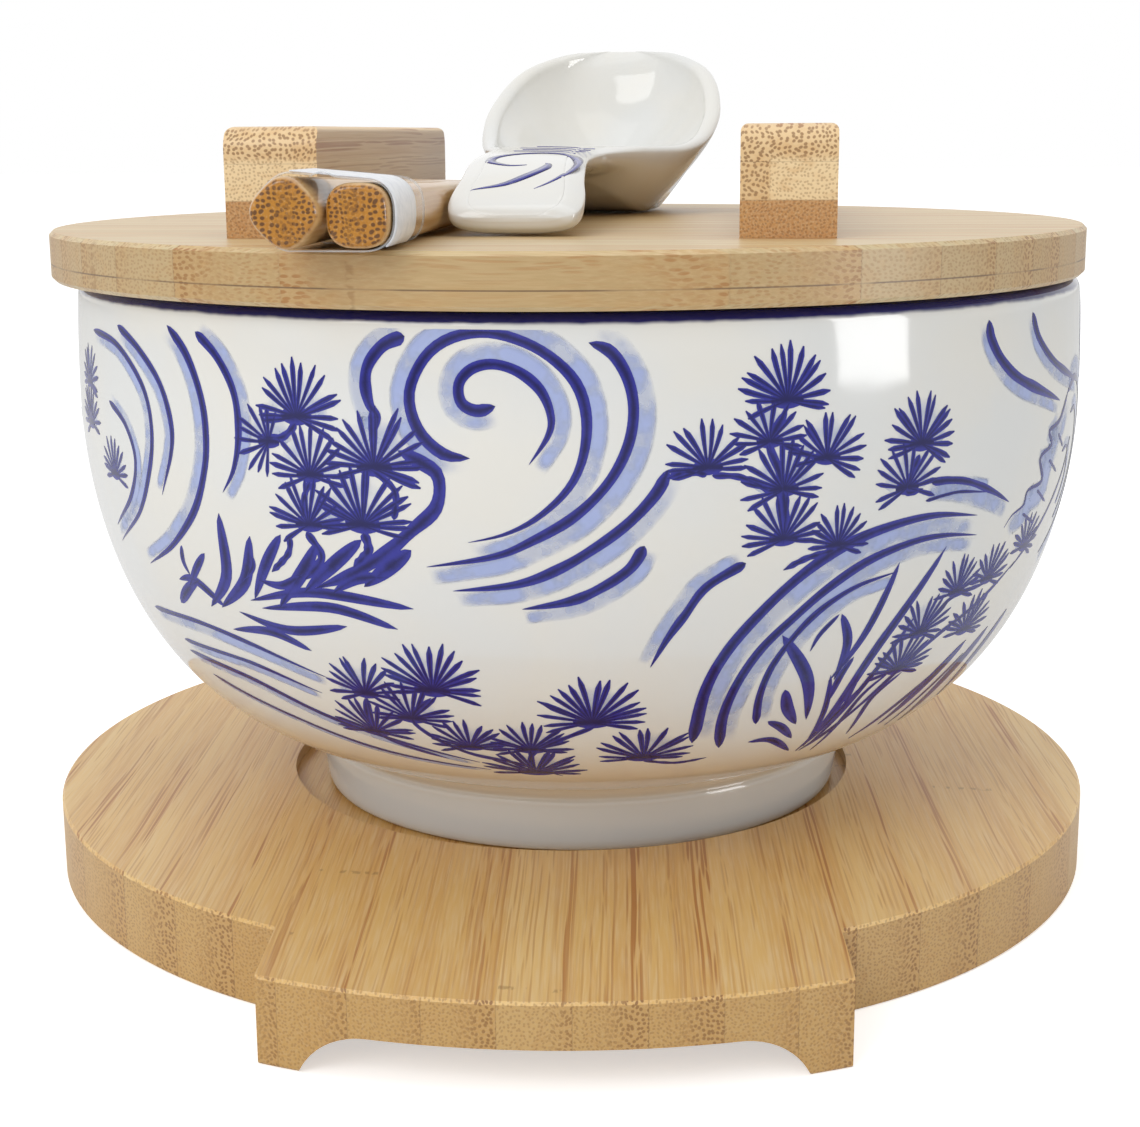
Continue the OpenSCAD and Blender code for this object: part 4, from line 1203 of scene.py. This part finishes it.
def add_floor(look):
    """A pale floor that glows white where the camera sees it and keeps the object's shadow."""
    mesh = bpy.data.meshes.new("floor")
    corners = [(x * FLOOR_REACH, y * FLOOR_REACH, 0) for x, y in ((-1, -1), (1, -1), (1, 1), (-1, 1))]
    mesh.from_pydata(corners, [], [(0, 1, 2, 3)])
    finish = Finish("floor_white")
    seen = finish.add("ShaderNodeLightPath").outputs["Is Camera Ray"]
    glow = finish.blend(seen, BLACK, WHITE)
    mesh.materials.append(finish.finished(
        Base_Color=FLOOR_GREY, Roughness=0.9, Specular_IOR_Level=0.0, Emission_Color=glow,
        Emission_Strength=look.floor_glow))
    floor = bpy.data.objects.new("floor", mesh)
    bpy.context.scene.collection.objects.link(floor)


def add_stage(look):
    """The floor, a white background that lights more softly than it shows, a soft key lamp
    from the front left, one overhead, a window to the right that only shines in the glaze,
    and the camera."""
    add_floor(look)
    world = bpy.data.worlds.new("studio")
    world.use_nodes = True
    nodes = Nodes(world.node_tree)
    path = nodes.add("ShaderNodeLightPath").outputs
    shown = Value(nodes, path["Is Camera Ray"])
    for ray in ("Is Glossy Ray", "Is Transmission Ray"):
        shown = worked("MAXIMUM", shown, Value(nodes, path[ray]))
    background = world.node_tree.nodes["Background"].inputs
    nodes.fill(background["Color"], WHITE)
    nodes.fill(background["Strength"], look.sky * (1 - shown) + shown)

    add_lamp("key", (-0.55, -0.75, 0.75), (0, 0, 0.06), 0.6, 0.6, look.key_power)
    add_lamp("top", (0.05, 0.05, 1.1), (0, 0, 0.05), 0.9, 0.9, look.top_power)
    add_lamp("window", (1.075, -0.545, 0.24), (0.04, -0.07, 0.24), 0.38, 0.56, look.window_power, False)

    data = bpy.data.cameras.new("camera")
    data.sensor_width = SENSOR_WIDTH
    data.lens = look.lens
    camera = bpy.data.objects.new("camera", data)
    camera.location = CAMERA_PLACE
    tilt = Euler((math.radians(CAMERA_TILT), 0, 0)).to_matrix()
    roll = Euler((0, 0, math.radians(CAMERA_ROLL))).to_matrix()
    camera.rotation_euler = (tilt @ roll).to_euler()
    scene = bpy.context.scene
    scene.collection.objects.link(camera)
    scene.world = world
    scene.camera = camera
    scene.view_settings.view_transform = "Standard"


# Properties

def a_number(name, value, description, **limits):
    """A plain number."""
    return bpy.props.FloatProperty(name=name, description=description, default=value, **limits)


def a_length(name, value, description):
    """A length given in mm."""
    return a_number(name, value * MM, description, min=0.0, precision=5, subtype="DISTANCE", unit="LENGTH")


def an_angle(name, value, description):
    """An angle given in degrees."""
    return a_number(name, math.radians(value), description, min=-math.pi / 2, max=math.pi / 2,
                    subtype="ANGLE", unit="ROTATION")


def a_colour(name, red, green, blue, description):
    """A colour given as it should look on screen, 0 to 255."""
    return bpy.props.FloatVectorProperty(name=name, description=description, default=tint(red, green, blue),
                                         size=4, min=0.0, max=1.0, subtype="COLOR")


def in_mm(sizes):
    """The sizes as plain numbers, with each length in mm."""
    values = {}
    for name, prop in sizes.bl_rna.properties.items():
        if prop.type == "FLOAT":
            values[name] = getattr(sizes, name) / (MM if prop.unit == "LENGTH" else 1)
    return SimpleNamespace(**values)


class BowlSetSizes(bpy.types.PropertyGroup):
    """Sizes and places of the bowl, the spoon, the chopsticks, the film and the label"""
    bowl_diameter: a_length("Bowl diameter", 161.6, "Largest diameter of the bowl")
    bowl_height: a_length("Bowl height", RIM_Z - RECESS_Z, "Height of the bowl with foot and rim")
    bulge_drop: a_length("Widest level", 18, "How far the widest level lies under the rim")
    rim_draw: a_length("Rim draw", 0.5, "How far the rim draws in")
    wall: a_length("Wall", 4.2, "Thickness of the bowl's wall")
    floor: a_length("Floor", 6, "Thickness of the bowl's floor")
    foot_diameter: a_length("Foot diameter", 89, "Diameter of the foot ring")
    foot_height: a_length("Foot height", 9, "Height of the foot ring")
    foot_wall: a_length("Foot wall", 5.5, "Thickness of the foot ring")
    foot_hollow: a_length("Foot hollow", 7.6, "Depth of the hollow inside the foot ring")
    fullness: a_number("Fullness", 3.9, "2 is an ellipse and more is squarer", min=2.0, max=6.0)
    needle_width: a_length("Needle width", 0.68, "Width of a painted pine needle")
    spoon_length: a_length("Spoon length", 127, "Length of the spoon")
    spoon_width: a_length("Spoon width", 43.5, "Width of the spoon's bowl")
    spoon_height: a_length("Spoon height", 30.4, "Height of the spoon's tip")
    spoon_bow: a_length("Spoon bow", 3.4, "How far the handle bows sideways")
    spoon_left: a_length("Spoon left", 7.9, "Place of the handle's end, left of the lid's centre")
    spoon_front: a_length("Spoon front", 48.5, "Place of the handle's end, in front of the centre")
    spoon_turn: an_angle("Spoon turn", 8.7, "Direction of the spoon")
    stick_length: a_length("Chopstick length", 225, "Length of a chopstick")
    stick_thickness: a_length("Chopstick thickness", 8, "Thickness at the square end")
    stick_tip: a_length("Chopstick tip", 3, "Thickness at the tip")
    stick_gap: a_length("Chopstick gap", 0.2, "Gap between the two sticks")
    stick_left: a_length("Chopsticks left", 25.7, "Place of the right stick, left of the lid's centre")
    stick_front: a_length("Chopsticks front", 84, "Place of the right stick, in front of the centre")
    stick_stagger: a_length("Chopstick stagger", 2, "How far the left stick reaches forward")
    stick_turn: an_angle("Chopstick turn", 6.4, "Direction of the chopsticks")
    film_length: a_length("Film length", 20, "Length of the film band along the sticks")
    film_back: a_length("Film setback", 1.5, "How far the band sits back from the right stick's end")
    film_thickness: a_length("Film thickness", 0.25, "Thickness of the film")
    film_clear: a_length("Film clearance", 0.2, "Clearance between the film and a stick")
    label_length: a_length("Label length", 13, "Length of the label along the sticks")
    label_thickness: a_length("Label thickness", 0.2, "Thickness of the label")


class BowlSetColours(bpy.types.PropertyGroup):
    """Colours of glaze, cobalt, bamboo, lacquer, film and label, and of painted shade and a painted
    reflection
    """
    glaze: a_colour("Glaze", 222, 223, 221, "White of the glaze")
    glaze_warm: a_colour("Warm glaze", 226, 224, 217, "Warmer white in the glaze's clouds")
    # Painted reflection of the bamboo tray low on the bowl's wall, warm and a little darker
    tray_reflection: a_colour("Tray reflection", 218, 196, 158, "Warm tinge low on the bowl's wall")
    foot_glaze: a_colour("Foot glaze", 218, 221, 221, "Bluish glaze on the foot ring")
    bare_clay: a_colour("Bare ring", 214, 202, 184, "Unglazed ring under the foot")
    rim_line: a_colour("Rim line", 24, 26, 96, "Dark line on the rim")
    wash: a_colour("Wash", 188, 200, 232, "Pale blue wash beside the brushwork")
    wash_deep: a_colour("Deeper wash", 152, 166, 216, "Where the wash pooled")
    ink_deep: a_colour("Deep ink", 10, 8, 82, "Cobalt where the brush left most")
    ink_thin: a_colour("Thin ink", 44, 46, 148, "Cobalt at the edges of a stroke")
    tray_pale: a_colour("Pale tray strip", 226, 190, 124, "Lightest strips of the tray")
    tray_tan: a_colour("Tan tray strip", 212, 168, 94, "Darker strips of the tray")
    lid_pale: a_colour("Pale lid strip", 204, 188, 146, "Lightest strips of the lid")
    lid_tan: a_colour("Tan lid strip", 190, 164, 114, "Darker strips of the lid")
    # Painted shade for the upright sides of the tray and the lid
    strip_side_shade: a_colour("Strip side shade", 164, 122, 62, "Shade of the upright sides of tray and lid")
    bar_pale: a_colour("Pale bar layer", 240, 214, 168, "Upper layers of a bar")
    bar_tan: a_colour("Tan bar layer", 190, 138, 80, "Lowest layer of a bar")
    # Painted shade for the long sides of the bars
    bar_side_shade: a_colour("Bar side shade", 126, 92, 54, "Shade of the long sides of a bar")
    bamboo_warm: a_colour("Warm bamboo", 202, 150, 80, "Warm bands along the grain")
    fibre_light: a_colour("Light fibre", 226, 202, 160, "Fine light fibres")
    streak: a_colour("Streak", 168, 106, 44, "Fibre streaks along the grain")
    dot: a_colour("Fibre dot", 132, 90, 42, "Fibre dots across the grain")
    seam: a_colour("Seam", 92, 66, 40, "Glue lines")
    stick_side: a_colour("Chopstick side", 206, 170, 116, "Sides of the chopsticks")
    stick_end: a_colour("Chopstick end", 184, 124, 34, "Lacquered ends of the chopsticks")
    stick_deep: a_colour("Chopstick shade", 168, 108, 32, "Darker patches in the lacquer")
    stick_dot: a_colour("Chopstick dot", 78, 44, 16, "Fibre dots in the ends")
    film: a_colour("Film", 226, 232, 238, "Clear film")
    film_milky: a_colour("Milky film", 250, 251, 252, "Film where it is creased")
    label: a_colour("Label", 232, 234, 238, "Blank label")
    label_shade: a_colour("Label shade", 214, 218, 224, "Mottle of the label")


class BowlSetStage(bpy.types.PropertyGroup):
    """The camera's lens, the lamps and the background"""
    lens: a_number("Lens", 61.209, "Focal length of the camera in mm", min=1.0, subtype="DISTANCE_CAMERA")
    sky: a_number("Sky", 0.76, "Light of the surroundings", min=0.0)
    key_power: a_number("Key", 3.8, "Power of the key lamp in watts", min=0.0)
    top_power: a_number("Top", 1.8, "Power of the lamp overhead in watts", min=0.0)
    window_power: a_number("Window", 5.2, "Power of the window's reflection in watts", min=0.0)
    floor_glow: a_number("Floor glow", 0.5, "Extra white of the floor where the camera sees it", min=0.0)


# Operators and panel

def set_up(context):
    """The sizes in mm and the colours."""
    return in_mm(context.scene.bowl_set_sizes), context.scene.bowl_set_colours


class BOWLSET_OT_bowl(bpy.types.Operator):
    """Makes the glazed bowl in place of its solid"""
    bl_idname = "bowlset.bowl"
    bl_label = "Bowl"

    def execute(self, context):
        add_bowl(*set_up(context))
        return {"FINISHED"}


class BOWLSET_OT_brushwork(bpy.types.Operator):
    """Paints the brushwork round the bowl"""
    bl_idname = "bowlset.brushwork"
    bl_label = "Bowl brushwork"

    def execute(self, context):
        add_brushwork(*set_up(context))
        return {"FINISHED"}


class BOWLSET_OT_spoon(bpy.types.Operator):
    """Makes the soup spoon and the strokes on its handle"""
    bl_idname = "bowlset.spoon"
    bl_label = "Spoon"

    def execute(self, context):
        add_spoon(*set_up(context))
        add_handle_strokes(*set_up(context))
        return {"FINISHED"}


class BOWLSET_OT_chopsticks(bpy.types.Operator):
    """Makes the two lacquered chopsticks: the right one lies flat, the left one on a corner"""
    bl_idname = "bowlset.chopsticks"
    bl_label = "Chopsticks"

    def execute(self, context):
        sizes, colours = set_up(context)
        add_stick(sizes, colours, "chopstick_right", 0, 0, 0, -1)
        add_stick(sizes, colours, "chopstick_left", math.pi / 4, -stick_spread(sizes),
                  -sizes.stick_stagger, 1)
        return {"FINISHED"}


class BOWLSET_OT_wrap(bpy.types.Operator):
    """Makes the film band and its blank label"""
    bl_idname = "bowlset.wrap"
    bl_label = "Film and label"

    def execute(self, context):
        add_film(*set_up(context))
        add_label(*set_up(context))
        return {"FINISHED"}


class BOWLSET_OT_bamboo(bpy.types.Operator):
    """Gives the tray, the lid, the bars and the dowels their bamboo"""
    bl_idname = "bowlset.bamboo"
    bl_label = "Bamboo finishes"

    def execute(self, context):
        finish_bamboo(context.scene.bowl_set_colours)
        return {"FINISHED"}


class BOWLSET_OT_stage(bpy.types.Operator):
    """Sets up the floor, the lamps, the background and the camera"""
    bl_idname = "bowlset.stage"
    bl_label = "Stage"

    def execute(self, context):
        add_stage(context.scene.bowl_set_stage)
        return {"FINISHED"}


OPERATORS = (BOWLSET_OT_stage, BOWLSET_OT_bowl, BOWLSET_OT_brushwork, BOWLSET_OT_spoon,
             BOWLSET_OT_chopsticks, BOWLSET_OT_wrap, BOWLSET_OT_bamboo)


class BOWLSET_PT_panel(bpy.types.Panel):
    """Lists the steps that dress the bowl set"""
    bl_idname = "BOWLSET_PT_panel"
    bl_label = "Bowl set"
    bl_space_type = "VIEW_3D"
    bl_region_type = "UI"
    bl_category = "Bowl set"

    def draw(self, context):
        for operator in OPERATORS:
            self.layout.operator(operator.bl_idname)


CLASSES = (BowlSetSizes, BowlSetColours, BowlSetStage, *OPERATORS, BOWLSET_PT_panel)


def register():
    for item in CLASSES:
        bpy.utils.register_class(item)
    bpy.types.Scene.bowl_set_sizes = bpy.props.PointerProperty(type=BowlSetSizes)
    bpy.types.Scene.bowl_set_colours = bpy.props.PointerProperty(type=BowlSetColours)
    bpy.types.Scene.bowl_set_stage = bpy.props.PointerProperty(type=BowlSetStage)


def unregister():
    del bpy.types.Scene.bowl_set_stage
    del bpy.types.Scene.bowl_set_colours
    del bpy.types.Scene.bowl_set_sizes
    for item in reversed(CLASSES):
        bpy.utils.unregister_class(item)


def main():
    register()
    bpy.ops.bowlset.stage()
    bpy.ops.bowlset.bowl()
    bpy.ops.bowlset.brushwork()
    bpy.ops.bowlset.spoon()
    bpy.ops.bowlset.chopsticks()
    bpy.ops.bowlset.wrap()
    bpy.ops.bowlset.bamboo()


if __name__ == "__main__":
    main()
